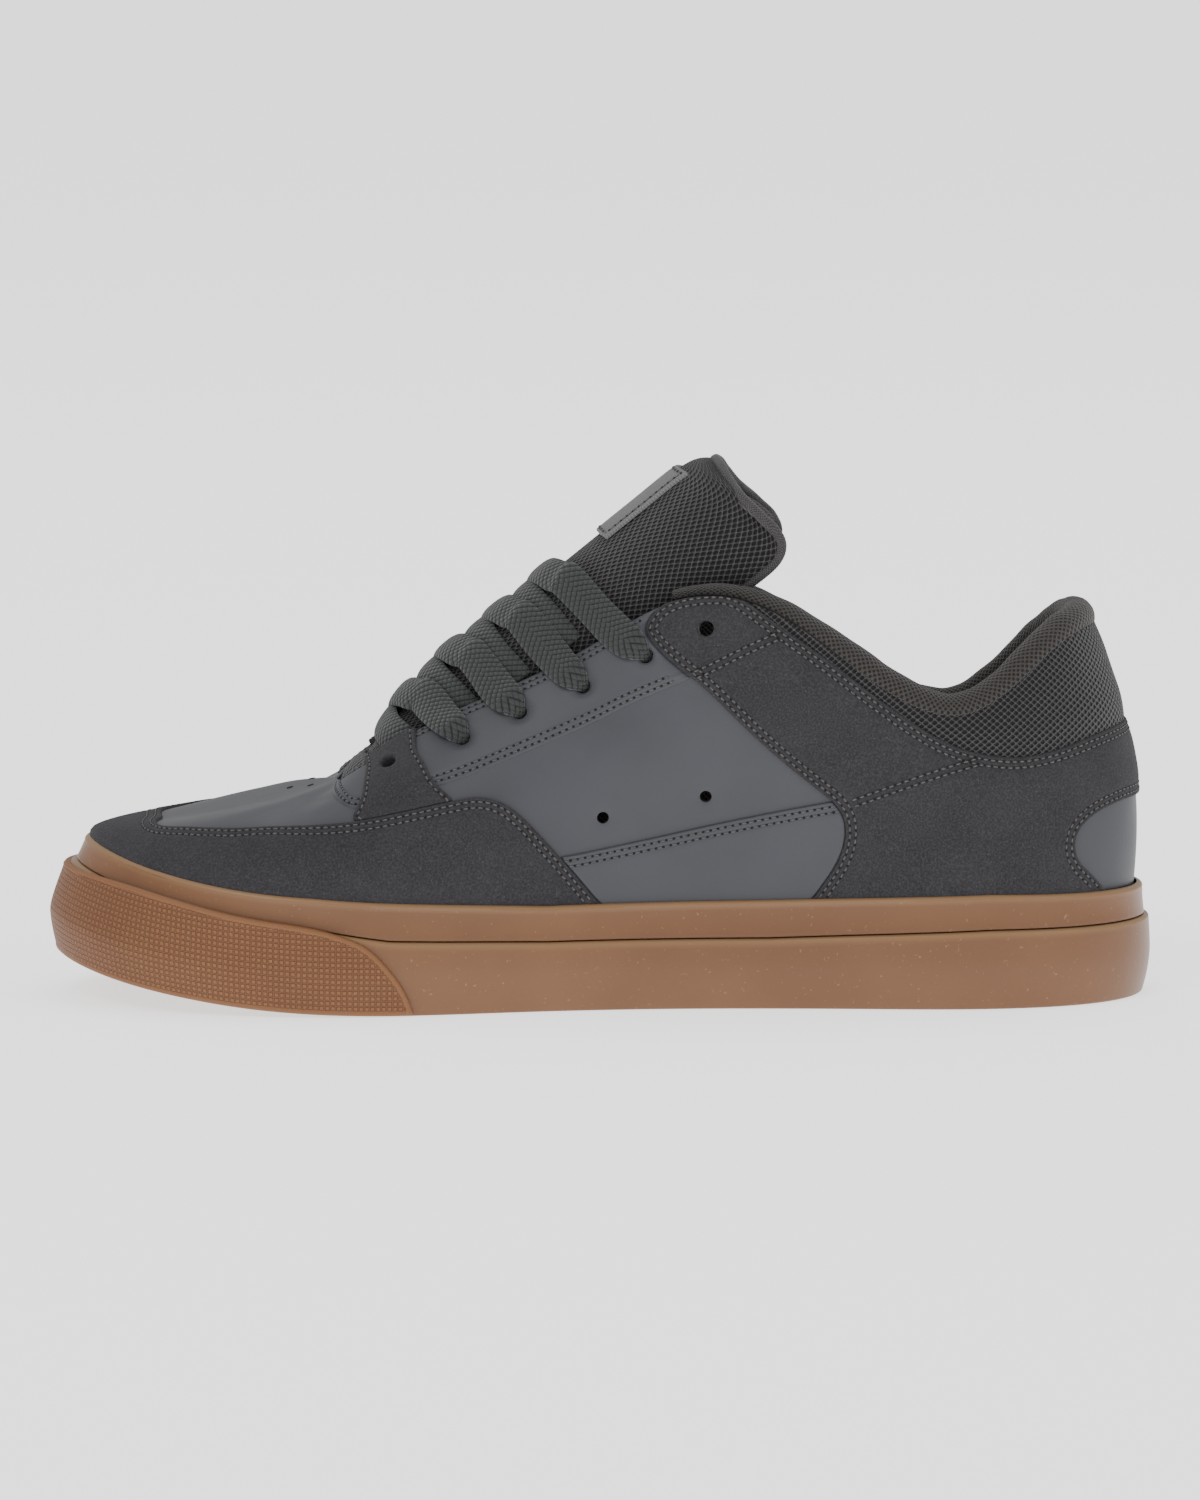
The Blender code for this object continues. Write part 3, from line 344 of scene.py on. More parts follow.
def upper_handles(turn):
    """Four handles of the curve that the upper follows from the foxing to its top edge."""
    station = station_of(turn)
    _, normal = outline(turn)
    along = along_turn(turn)
    base = sole_point(turn, foxing_height(along, FOXING_TOP) + SEAM_GAP, SKIRT_DEPTH, core_inset)
    top = top_point(turn)
    chord = top - base
    span = np.linalg.norm(chord, axis=-1, keepdims=True)
    chord = chord / span
    near = np.minimum(station, SPANS - 0.4)
    tops = [mirrored_curve(SECTION["top"], near + step) for step in (0.1, -0.1)]
    alongs = [mirrored_curve(SECTION["top_along"], near + step) for step in (0.1, -0.1)]
    rise = COLLAR_HEIGHT * (tops[0] - tops[1])
    run = x_at(alongs[0]) - x_at(alongs[1])
    fade = np.clip((station - (SPANS - 5.2)) / 1.2, 0, 1)
    slope = np.where(np.abs(run) > 1e-9, rise / np.where(run == 0, 1, run), 0.0) * fade
    level = np.stack([-normal[..., 0], -normal[..., 1], -normal[..., 0] * slope], -1)
    level /= np.linalg.norm(level, axis=-1, keepdims=True)
    read = {name: mirrored_curve(SECTION[name], station)[..., None] for name in SECTION_COLUMNS[7:]}
    start = chord * (1 - read["upright"]) + np.array([0, 0, 1.0]) * read["upright"]
    end = chord * (1 - read["flat"]) + level * read["flat"]
    start /= np.linalg.norm(start, axis=-1, keepdims=True)
    end /= np.linalg.norm(end, axis=-1, keepdims=True)
    return base, base + start * span * read["full_low"], top - end * span * read["full_high"], top


def even_turns(count):
    """An odd number of turns, even along the outline and alike on both sides of the shoe."""
    fine = np.linspace(0, SPANS, 3001)
    walked = np.zeros(len(fine))
    for turns in (fine, LOOP - fine):
        steps = np.linalg.norm(np.diff(outline(turns)[0], axis=0), axis=1)
        walked[1:] += np.cumsum(steps) / 2
    half = np.interp(np.linspace(0, walked[-1], count // 2 + 1), walked, fine)
    return np.concatenate([half, LOOP - half[-2::-1]])


def smoothstep(low, high, value):
    t = np.clip((value - low) / (high - low), 0, 1)
    return t * t * (3 - 2 * t)


def walked_along(points):
    """How far each point lies along a line."""
    steps = np.linalg.norm(np.diff(points, axis=0), axis=1)
    return np.concatenate([[0], np.cumsum(steps)])


def read_along(at, walked, values):
    """The values of a line's points, read at other lengths along it."""
    return np.stack([np.interp(at, walked, values[:, k]) for k in range(values.shape[1])], -1)


def grid_order(values):
    """Values of a sheet's points in the order of Blender's grid."""
    return np.swapaxes(values, 0, 1).reshape(-1).astype(np.float32)


def unit(vectors):
    return vectors / np.maximum(np.linalg.norm(vectors, axis=-1, keepdims=True), 1e-12)


class Sheet:
    """A surface as rows and columns of points, with normals and lengths along the cloth."""

    def __init__(self, points, outward, mirrored=True):
        self.points = points
        du = np.gradient(points, axis=0)
        if mirrored:
            seam = points[1] - points[-2]
            du[0], du[-1] = seam / 2, seam / 2
        dv = np.gradient(points, axis=1)
        normals = unit(np.cross(du, dv))
        if np.sum(normals * outward(points)) < 0:
            normals = -normals
        self.normals = normals
        self.du, self.dv = du, dv
        along = np.linalg.norm(np.diff(points, axis=0), axis=-1).mean(axis=1)
        run = np.concatenate([[0], np.cumsum(along)])
        if mirrored:
            run = np.minimum(run, run[-1] - run)
        up = np.linalg.norm(np.diff(points, axis=1), axis=-1)
        climb = np.concatenate([np.zeros((len(points), 1)), np.cumsum(up, axis=1)], 1)
        self.run = np.broadcast_to(run[:, None], climb.shape)
        self.climb = climb

    def surface_distance(self, field):
        """A side-view distance turned into a distance along the surface, near its zero line."""
        fu, fv = np.gradient(field, axis=0), np.gradient(field, axis=1)
        uu = np.sum(self.du * self.du, -1)
        uv = np.sum(self.du * self.dv, -1)
        vv = np.sum(self.dv * self.dv, -1)
        area = np.maximum(uu * vv - uv * uv, 1e-16)
        steep = np.sqrt(np.maximum((vv * fu * fu - 2 * uv * fu * fv + uu * fv * fv) / area, 0))
        return field / np.clip(steep, 0.45, 1.05)


def upper_sheet(columns, rows):
    """The upper's outer face, from inside the foxing to the top edge."""
    turns = even_turns(columns)
    a, b, c, d = (h[:, None, :] for h in upper_handles(turns))
    low = platform_height(along_turn(turns)) + 2 * GAP
    skirt = sole_point(turns, low, SKIRT_DEPTH, core_inset)[:, None, :]
    share = 1 - (1 - np.linspace(0, 1, rows)) ** 1.12
    t = share[None, :, None]
    s = 1 - t
    face = a * s ** 3 + 3 * b * s * s * t + 3 * c * s * t * t + d * t ** 3
    steps = np.linspace(0, 1, 9)[None, :-1, None]
    return Sheet(
        np.concatenate([skirt + (a - skirt) * steps, face], 1),
        lambda p: p - np.array([0.0, 0.0, 0.02]),
    )


def signed_distance(points, corners):
    """Distance in the side view from points to a closed outline: positive inside it."""
    flat = points[..., [0, 2]].reshape(-1, 2)
    a = np.asarray(corners)
    b = np.roll(a, -1, axis=0)
    best = np.full(len(flat), 1e9)
    inside = np.zeros(len(flat), bool)
    for p, q in zip(a, b):
        edge = q - p
        size = max(float(edge @ edge), 1e-16)
        t = np.clip(((flat - p) @ edge) / size, 0, 1)
        best = np.minimum(best, np.sum((flat - p - t[:, None] * edge) ** 2, axis=1))
        crosses = (p[1] > flat[:, 1]) != (q[1] > flat[:, 1])
        where = p[0] + (flat[:, 1] - p[1]) * edge[0] / (edge[1] if edge[1] else 1e-16)
        inside ^= crosses & (flat[:, 0] < where)
    distance = np.sqrt(best) * np.where(inside, 1, -1)
    return distance.reshape(points.shape[:-1])


def line_distance(points, line):
    """Distance in space from points to an open line."""
    flat = points.reshape(-1, 3)
    best = np.full(len(flat), 1e9)
    for p, q in zip(line[:-1], line[1:]):
        edge = q - p
        t = np.clip(((flat - p) @ edge) / max(float(edge @ edge), 1e-16), 0, 1)
        best = np.minimum(best, np.sum((flat - p - t[:, None] * edge) ** 2, axis=1))
    return np.sqrt(best).reshape(points.shape[:-1])


def drawn(rows, steps=8):
    """A smooth open side-view line through rows of (along, height) shares."""
    rows = np.asarray(rows, float)
    at = np.linspace(0, len(rows) - 1, (len(rows) - 1) * steps + 1)
    height = COLLAR_HEIGHT * natural_curve(rows[:, 1], at)
    return np.stack([x_at(natural_curve(rows[:, 0], at)), height], -1)


def straight(rows):
    """The same, with straight lines from row to row."""
    rows = np.asarray(rows, float)
    return np.stack([x_at(rows[:, 0]), COLLAR_HEIGHT * rows[:, 1]], -1)


UPPER = upper_sheet(581, 101)
TOP_LINE = UPPER.points[:, -1]
OPEN_EDGE = opening(station_of(even_turns(581))) > 1e-5
print("the upper's sheet", UPPER.points.shape)
print("from", UPPER.points.min((0, 1)), "to", UPPER.points.max((0, 1)))


# %% [markdown]
# ## A piece cut from a sheet
#
# Every leather or suede piece is cut from flat stock with a clicker knife, laid on the last and
# sewn down. The function below does the same. It takes the last's surface, cuts it along an
# outline that is given as a distance to the piece's edge, gives it a thickness with a rounded rim,
# and presses a groove where each row of stitches runs. Cutting by distance keeps each edge crisp
# and gives the seam its place for nothing.

# %% Cutting, thickness and stitches
GROOVE_HALF = 0.0005
CUT_MARGIN = 0.0035
HOLE_DEPTH, HOLE_FINE_REACH = 0.012, 0.0012


def put_values(mesh, name, values, kind="FLOAT"):
    """Give each vertex a named number, or a vector where kind says so."""
    mesh.attributes.new(name, kind, "POINT")
    field = "value" if kind == "FLOAT" else "vector"
    mesh.attributes[name].data.foreach_set(field, values)


def grid_mesh(points):
    """A mesh over a grid of points."""
    columns, rows = points.shape[:2]
    bm = bmesh.new()
    bmesh.ops.create_grid(bm, x_segments=columns - 1, y_segments=rows - 1, size=1.0)
    mesh = bpy.data.meshes.new("grid")
    bm.to_mesh(mesh)
    bm.free()
    mesh.vertices.foreach_set("co", grid_order(points))
    return mesh


def taken_up(mesh):
    """The mesh as a bmesh. The mesh itself goes."""
    bm = bmesh.new()
    bm.from_mesh(mesh)
    bpy.data.meshes.remove(mesh)
    return bm


def grid_bmesh(sheet, layers):
    """A bmesh with the sheet's points, its normals and other values on its vertices."""
    mesh = grid_mesh(sheet.points)
    put_values(mesh, "out", grid_order(sheet.normals), "FLOAT_VECTOR")
    for name, values in layers.items():
        put_values(mesh, name, grid_order(values))
    return taken_up(mesh)


def cut_at(bm, layer, level):
    """Splits the faces along the line where a value passes a level."""
    share = {}
    for edge in bm.edges:
        a, b = edge.verts
        fa, fb = a[layer] - level, b[layer] - level
        if fa * fb >= 0:
            continue
        t = fa / (fa - fb)
        if t < 0.06:
            a.co = a.co.lerp(b.co, t)
            a[layer] = level
        elif t > 0.94:
            b.co = b.co.lerp(a.co, 1 - t)
            b[layer] = level
        else:
            share[edge] = t
    share = {
        e: t for e, t in share.items()
        if (e.verts[0][layer] - level) * (e.verts[1][layer] - level) < 0
    }
    made = bmesh.ops.bisect_edges(bm, edges=list(share), cuts=1, edge_percents=share)
    for item in made["geom_split"]:
        if isinstance(item, bmesh.types.BMVert):
            item[layer] = level
    on_line = [v for v in bm.verts if v[layer] == level]
    bmesh.ops.connect_verts(bm, verts=on_line)


def as_float32(value):
    return float(np.float32(value))


def chains(bm, layer, level, top):
    """Ordered runs of vertices along a level on the piece's outer face."""
    ways = {}
    for edge in bm.edges:
        a, b = edge.verts
        if a[layer] == level and b[layer] == level and a[top] > 0.5 and b[top] > 0.5:
            ways.setdefault(a, []).append(b)
            ways.setdefault(b, []).append(a)
    lines = []
    seen = set()
    starts = [v for v in ways if len(ways[v]) != 2] + list(ways)
    for start in starts:
        if start in seen:
            continue
        line = [start]
        seen.add(start)
        while True:
            following = [v for v in ways[line[-1]] if v not in seen]
            if not following:
                break
            line.append(following[0])
            seen.add(following[0])
        if len(line) > 2:
            lines.append([v.index for v in line])
    return lines


def round_rim(edge, radius):
    """How much of the thickness stands at a distance from the edge: a quarter round."""
    near = np.clip(1 - edge / radius, 0, 1)
    return 0.35 + 0.65 * np.sqrt(np.maximum(1 - near ** 2, 0))


def hole_field(points, holes):
    """Distance to the nearest hole's rim: negative inside a hole."""
    best = np.full(points.shape[:-1], 1.0)
    for centre, axis, radius in holes:
        away = points - centre
        off = away - np.sum(away * axis, -1)[..., None] * axis
        distance = np.linalg.norm(off, axis=-1) - radius
        distance = np.where(np.abs(np.sum(away * axis, -1)) < HOLE_DEPTH, distance, 1.0)
        best = np.minimum(best, distance)
    return best


def refine_near(bm, holes, reach):
    """Finer faces round the holes, so that their rims come out round."""
    near = []
    for edge in bm.edges:
        middle = (edge.verts[0].co + edge.verts[1].co) / 2
        if any((middle - Vector(c)).length < r + reach for c, _, r in holes):
            near.append(edge)
    if near:
        bmesh.ops.subdivide_edges(bm, edges=near, cuts=2, use_grid_fill=True)


def make_object(name, bm):
    mesh = bpy.data.meshes.new(name)
    bm.to_mesh(mesh)
    obj = bpy.data.objects.new(name, mesh)
    bpy.context.scene.collection.objects.link(obj)
    return obj


def read_attribute(mesh, name, size=1):
    values = np.empty(len(mesh.vertices) * size, np.float32)
    mesh.attributes[name].data.foreach_get("vector" if size == 3 else "value", values)
    return values.reshape(-1, size) if size > 1 else values


def cut_piece(name, sheet, field, wall, rim=0.0006, grooves=(), bed=None, shape=None, under=None,
              holes=(), puff=0.0, groove_depth=0.00022, seam=None):
    """A closed piece of the sheet where field (distance to its edge) is positive.

    bed is the height of what lies under it. shape and under give the outer and the inner face's
    height from the points, the distance to the edge and the bed. The grooves lie where seam, or
    else field, has their values. Returns the object and, for each groove, its lines of
    (points, normals) for the stitches.
    """
    layers = {
        "edge": np.clip(field, -0.02, 0.05),
        "seam": np.clip(field if seam is None else seam, -0.02, 0.05),
        "bed": np.zeros_like(field) if bed is None else bed,
        "run": sheet.run, "climb": sheet.climb,
    }
    bm = grid_bmesh(sheet, layers)
    edge = bm.verts.layers.float["edge"]
    far = [v for v in bm.verts if v[edge] < -CUT_MARGIN]
    bmesh.ops.delete(bm, geom=far, context="VERTS")
    bmesh.ops.remove_doubles(bm, verts=bm.verts, dist=2e-6)
    if holes:
        refine_near(bm, holes, HOLE_FINE_REACH)
        edge = bm.verts.layers.float["edge"]
        rims = hole_field(np.array([v.co for v in bm.verts]), holes)
        for vert, rim_distance in zip(bm.verts, rims):
            vert[edge] = min(vert[edge], float(rim_distance))
    for level in [as_float32(v) for v in (0.0, 0.3 * rim, rim)]:
        cut_at(bm, edge, level)
        if level == 0.0:
            outside = [v for v in bm.verts if v[edge] < 0]
            bmesh.ops.delete(bm, geom=outside, context="VERTS")
            loose = [v for v in bm.verts if not v.link_faces]
            bmesh.ops.delete(bm, geom=loose, context="VERTS")
    along_seam = bm.verts.layers.float["seam"]
    for g in grooves:
        for level in (g - GROOVE_HALF, g, g + GROOVE_HALF):
            cut_at(bm, along_seam, as_float32(level))
    top = bm.verts.layers.float.new("top")
    made = bmesh.ops.extrude_face_region(bm, geom=bm.faces[:], use_keep_orig=True)
    for item in made["geom"]:
        if isinstance(item, bmesh.types.BMVert):
            item[top] = 1.0
    bm.verts.index_update()
    bmesh.ops.recalc_face_normals(bm, faces=bm.faces)
    for face in bm.faces:
        face.material_index = 0 if any(v[top] > 0.5 for v in face.verts) else 1
    along_seam = bm.verts.layers.float["seam"]
    lines = {g: chains(bm, along_seam, as_float32(g), top) for g in grooves}
    obj = make_object(name, bm)
    bm.free()

    mesh = obj.data
    place = np.empty(len(mesh.vertices) * 3, np.float32)
    mesh.vertices.foreach_get("co", place)
    place = place.reshape(-1, 3).astype(float)
    out = unit(read_attribute(mesh, "out", 3).astype(float))
    near = read_attribute(mesh, "edge").astype(float)
    inwards = read_attribute(mesh, "seam").astype(float)
    base = read_attribute(mesh, "bed").astype(float)
    upper = read_attribute(mesh, "top") > 0.5
    height = wall * round_rim(near, rim)
    height += puff * smoothstep(0.0, 0.006, near - 0.001)
    for g in grooves:
        height -= groove_depth * np.exp(-((inwards - g) / GROOVE_HALF) ** 2)
    height += base if shape is None else shape(place, near, base)
    low = 0.0 if under is None else under(place, near, base)
    offset = np.where(upper, height, low)
    place += out * offset[:, None]
    mesh.vertices.foreach_set("co", place.reshape(-1).astype(np.float32))
    cloth = np.stack([read_attribute(mesh, "run"), read_attribute(mesh, "climb"), near], -1)
    put_values(mesh, "cloth", cloth.reshape(-1).astype(np.float32), "FLOAT_VECTOR")
    put_values(mesh, "rim", near.astype(np.float32))
    for spare in ("out", "edge", "seam", "bed", "top", "run", "climb"):
        mesh.attributes.remove(mesh.attributes[spare])
    mesh.update()
    mesh.shade_smooth()
    mesh.set_sharp_from_angle(angle=math.radians(62))
    seams = {g: [(place[line], out[line]) for line in lines[g]] for g in grooves}
    print(name, len(mesh.polygons), "faces")
    return obj, seams


STITCH_PITCH = 0.0020
STITCH_LENGTH = 0.0014
STITCH_WIDTH = 0.00052
NEEDLE_HOLE = 0.00042


def walk(points, normals, pitch):
    """Places spaced evenly along a line, with its direction and normal there."""
    walked = walked_along(points)
    count = int(walked[-1] / pitch)
    if count < 1:
        return
    at = (np.arange(count) + 0.5) * walked[-1] / count
    half = pitch * 0.3
    read = [read_along(at + d, walked, points) for d in (-half, 0, half)]
    up = read_along(at, walked, normals)
    for place, run, normal in zip(read[1], unit(read[2] - read[0]), unit(up)):
        yield place, run, normal


def stitch_frame(run, across, up, place):
    turn = Matrix(((*run, 0), (*across, 0), (*up, 0), (0, 0, 0, 1))).transposed()
    turn.translation = Vector(place)
    return turn


def sew(name, lines, lift=0.00008, pitch=STITCH_PITCH, keep=None):
    """One mesh with a thread loop at each stitch of the lines, and after it a small near-black disc
    of painted shade for the needle hole.
    """
    bm = bmesh.new()
    count = 0
    for points, normals in lines:
        for place, run, normal in walk(points, normals, pitch):
            if keep is not None and not keep(place):
                continue
            across = unit(np.cross(normal, run))
            up = np.cross(run, across)
            turn = stitch_frame(
                run * STITCH_LENGTH * pitch / STITCH_PITCH, across * STITCH_WIDTH,
                up * STITCH_WIDTH, place + normal * lift,
            )
            bmesh.ops.create_uvsphere(
                bm, u_segments=6, v_segments=4, radius=0.5, matrix=turn @ SIDEWAYS,
            )
            # The needle hole: a flat cone in the near-black material, painted shade for the hole.
            flat = stitch_frame(run, across, up, place + run * pitch / 2 + normal * lift)
            made = bmesh.ops.create_cone(
                bm, cap_ends=True, segments=6, radius1=NEEDLE_HOLE, radius2=NEEDLE_HOLE * 0.8,
                depth=0.0002, matrix=flat,
            )
            for vert in made["verts"]:
                for face in vert.link_faces:
                    face.material_index = 1
            count += 1
    obj = make_object(name, bm)
    bm.free()
    obj.data.shade_smooth()
    print(name, count, "stitches")
    return obj


SIDEWAYS = Matrix.Rotation(math.pi / 2, 4, "Y")


# %% [markdown]
# ## Outlines and holes
#
# The same side-view outlines that cut the solids cut the finished pieces. Holes are punched
# through leather and shell alike, square to the surface.

# %% Outlines and holes
TOE_CAP_EDGE = (
    (1.060, 0.640), (0.975, 0.620), (0.932, 0.550), (0.922, 0.480), (0.914, 0.450),
    (0.900, 0.438), (0.876, 0.442), (0.846, 0.447),
    (0.797, 0.455), (0.751, 0.466), (0.710, 0.481), (0.670, 0.504), (0.635, 0.525),
    (0.612, 0.534), (0.592, 0.522), (0.572, 0.484), (0.548, 0.413), (0.527, 0.346),
    (0.503, 0.266), (0.465, 0.150),
)
QUARTER_EDGE = (
    (0.350, 0.130), (0.311, 0.279), (0.292, 0.357), (0.284, 0.415), (0.284, 0.472),
    (0.293, 0.515), (0.310, 0.554), (0.341, 0.624), (0.375, 0.710), (0.409, 0.801),
    (0.439, 0.868), (0.458, 0.922), (0.460, 0.958), (0.447, 1.002), (0.424, 1.028),
    (0.398, 1.036), (0.378, 1.024), (0.358, 0.988), (0.342, 0.956), (0.308, 0.890),
    (0.274, 0.819), (0.240, 0.749), (0.206, 0.687), (0.178, 0.651), (0.151, 0.633),
    (0.123, 0.629), (0.095, 0.642), (0.067, 0.665), (0.029, 0.691), (-0.060, 0.730),
)
HEEL_PATCH_EDGE = (
    (-0.060, 0.515), (0.014, 0.505), (0.035, 0.499), (0.055, 0.480), (0.071, 0.444),
    (0.076, 0.402), (0.070, 0.353), (0.050, 0.289), (0.025, 0.150),
)
EYESTAY_EDGE = (
    (0.400, 0.850), (0.419, 0.828), (0.469, 0.769), (0.503, 0.722), (0.543, 0.672),
    (0.580, 0.629), (0.625, 0.580), (0.660, 0.551), (0.690, 0.526), (0.712, 0.509),
    (0.729, 0.509), (0.741, 0.526), (0.749, 0.550), (0.753, 0.610),
)
EYESTAY_TOP = ((0.700, 0.780), (0.560, 0.960), (0.470, 1.100))
PANEL_EDGE = (
    (0.565, 0.370), (0.544, 0.382), (0.519, 0.393), (0.450, 0.432), (0.382, 0.473),
    (0.295, 0.520), (0.220, 0.556),
)
PANEL_FOOT = ((0.220, 0.100), (0.560, 0.100))
TAB_EDGE = (
    (0.668, 0.700), (0.715, 0.645), (0.712, 0.600), (0.713, 0.555), (0.717, 0.515),
    (0.722, 0.478), (0.690, 0.455), (0.650, 0.470), (0.632, 0.515), (0.648, 0.561),
    (0.657, 0.597), (0.666, 0.634),
)
COLLAR_MESH_EDGE = (
    (0.400, 1.016), (0.378, 1.004), (0.358, 0.968), (0.342, 0.936), (0.308, 0.870),
    (0.274, 0.799), (0.240, 0.729), (0.206, 0.667), (0.178, 0.631), (0.151, 0.613),
    (0.123, 0.609), (0.095, 0.622), (0.067, 0.645), (0.029, 0.671), (-0.060, 0.710),
)
COLLAR_MESH_TOP = ((-0.060, 1.300), (0.400, 1.300))
LACE_HOLES = (
    (0.691, 0.601), (0.626, 0.672), (0.575, 0.737), (0.518, 0.803), (0.462, 0.881),
    (0.408, 0.950),
)
VENTS = ((0.500, 0.480), (0.408, 0.531))
LACE_HOLE_RADIUS = 0.0021
VENT_RADIUS = 0.0016

toe_cap_outline = np.concatenate([drawn(TOE_CAP_EDGE), straight([(1.060, 0.150)])])
back_outline = np.concatenate([drawn(QUARTER_EDGE), drawn(HEEL_PATCH_EDGE)])
eyestay_outline = np.concatenate([drawn(EYESTAY_EDGE), straight(EYESTAY_TOP)])
panel_outline = np.concatenate([drawn(PANEL_EDGE), straight(PANEL_FOOT)])
tab_outline = drawn(TAB_EDGE)
collar_mesh_outline = np.concatenate([drawn(COLLAR_MESH_EDGE), straight(COLLAR_MESH_TOP)])


def on_surface(place, side):
    """The upper's point and normal at a side-view place on one side of the shoe."""
    x, z = place
    half = UPPER.points.shape[0] // 2
    columns = slice(0, half + 1) if side < 0 else slice(half, None)
    points = UPPER.points[columns]
    normals = UPPER.normals[columns]
    away = (points[..., 0] - x) ** 2 + (points[..., 2] - z) ** 2
    i, j = np.unravel_index(int(np.argmin(away)), away.shape)
    i = min(max(i, 1), points.shape[0] - 2)
    j = min(max(j, 1), points.shape[1] - 2)
    du, dv = (points[i + 1, j] - points[i - 1, j]) / 2, (points[i, j + 1] - points[i, j - 1]) / 2
    system = np.array([[du[0], dv[0]], [du[2], dv[2]]])
    step = np.clip(np.linalg.solve(system, [x - points[i, j, 0], z - points[i, j, 2]]), -1, 1)
    return points[i, j] + du * step[0] + dv * step[1], normals[i, j]


def punched(rows, sides, radius):
    return [(*on_surface(straight([row])[0], side), radius) for row in rows for side in sides]


eyelets = punched(LACE_HOLES, (-1, 1), LACE_HOLE_RADIUS)
vents = punched(VENTS, (-1,), VENT_RADIUS)
print(len(eyelets), "lace holes and", len(vents), "vents")


# %% [markdown]
# ## Distances on the upper
#
# One map of distances for each outline, worked out once on the last's surface. The distance to
# the throat and collar edge is measured in space, so that the rim follows it round the front.

# %% Distances on the upper
def upper_field(corners):
    return UPPER.surface_distance(signed_distance(UPPER.points, corners))


near_top = np.full(UPPER.points.shape[:2], np.inf)
for half in (np.arange(len(TOP_LINE)) <= 290, np.arange(len(TOP_LINE)) >= 290):
    near_top = np.minimum(near_top, line_distance(UPPER.points, TOP_LINE[OPEN_EDGE & half]))
toe_field = upper_field(toe_cap_outline)
back_field = upper_field(back_outline)
stay_field = np.minimum(upper_field(eyestay_outline), near_top + 1e-5)
tab_field = upper_field(tab_outline)
panel_field = upper_field(panel_outline)
mesh_field = upper_field(collar_mesh_outline)
print("fields done")


# %% [markdown]
# ## Leathers and suede
#
# The smooth parts are coated leather: matte, with a fine even grain and only a soft shine. The
# suede parts are the flesh side of the hide, brushed: no shine, a speckle of short fibres, and
# patches where the nap has been stroked another way. Real grain is near 0.3 mm and would vanish
# in the picture, so it is drawn at about 0.5 mm.

# %% Leathers and suede
def new_material(name):
    made = bpy.data.materials.new(name)
    made.use_nodes = True
    return made, made.node_tree, made.node_tree.nodes["Principled BSDF"]


def object_coordinates(tree):
    return add(tree, "TexCoord").outputs["Object"]


def cloth_coordinates(tree):
    """The lengths along the cloth, in metres, that each piece carries."""
    return add(tree, "Attribute", attribute_name="cloth").outputs["Vector"]


def noise(tree, coordinates, size, detail=2.0, roughness=0.5):
    inputs = {"Vector": coordinates, "Scale": 1 / size, "Detail": detail, "Roughness": roughness}
    return add(tree, "TexNoise", inputs).outputs[0]


def ranged(tree, value, low, high, to_low=0.0, to_high=1.0):
    inputs = {"Value": value, "From Min": low, "From Max": high, "To Min": to_low, "To Max": to_high}
    return add(tree, "MapRange", inputs, interpolation_type="SMOOTHSTEP").outputs[0]


def mixed(tree, share, low, high):
    """Two colours, given as hex codes or outputs, mixed by a share."""
    low = linear(low) if isinstance(low, str) else low
    high = linear(high) if isinstance(high, str) else high
    return add(tree, "Mix", {0: share, 6: low, 7: high}, data_type="RGBA").outputs[2]


def sums(tree, operation, first, second):
    return add(tree, "Math", {0: first, 1: second}, operation=operation).outputs[0]


def bumps(tree, shader, layers):
    """Relief from pairs of height and depth in metres, one on the other."""
    normal = None
    for height, depth in layers:
        inputs = {"Height": height, "Distance": depth, "Strength": 1.0}
        if normal is not None:
            inputs["Normal"] = normal
        normal = add(tree, "Bump", inputs).outputs["Normal"]
    tree.links.new(normal, shader.inputs["Normal"])


def coated_leather(name, dark, light, rough=(0.47, 0.58)):
    made, tree, shader = new_material(name)
    place = object_coordinates(tree)
    patches = noise(tree, place, 30 * MM, 3)
    colour = mixed(tree, ranged(tree, patches, 0.3, 0.7), dark, light)
    tree.links.new(colour, shader.inputs["Base Color"])
    grain = add(tree, "TexVoronoi", {"Vector": place, "Scale": 1 / (0.55 * MM)}).outputs["Distance"]
    pores = noise(tree, place, 0.35 * MM)
    tree.links.new(ranged(tree, patches, 0.3, 0.7, *rough), shader.inputs["Roughness"])
    shader.inputs["IOR"].default_value = 1.5
    shader.inputs["Specular IOR Level"].default_value = 0.42
    bumps(tree, shader, [(patches, 0.10 * MM), (grain, 0.018 * MM), (pores, 0.012 * MM)])
    return made


def suede(name, dark, light):
    made, tree, shader = new_material(name)
    place = object_coordinates(tree)
    nap = noise(tree, place, 13 * MM, 4, 0.6)
    fibres = noise(tree, place, 0.55 * MM, 3, 0.7)
    speckle = noise(tree, place, 0.7 * MM, 2, 0.8)
    base = mixed(tree, ranged(tree, nap, 0.3, 0.7), dark, light)
    fibre_share = ranged(tree, fibres, 0.35, 0.75)
    hairs = mixed(tree, sums(tree, "MULTIPLY", fibre_share, 0.30), base, "#5C595B")
    points = sums(tree, "MULTIPLY", ranged(tree, speckle, 0.62, 0.76), 0.25)
    tree.links.new(mixed(tree, points, hairs, "#77736F"), shader.inputs["Base Color"])
    shader.inputs["Roughness"].default_value = 0.95
    shader.inputs["Specular IOR Level"].default_value = 0.12
    shader.inputs["Sheen Weight"].default_value = 0.22
    shader.inputs["Sheen Roughness"].default_value = 0.55
    shader.inputs["Sheen Tint"].default_value = linear("#8C898B")
    bumps(tree, shader, [(fibres, 0.16 * MM), (speckle, 0.14 * MM), (nap, 0.3 * MM)])
    return made


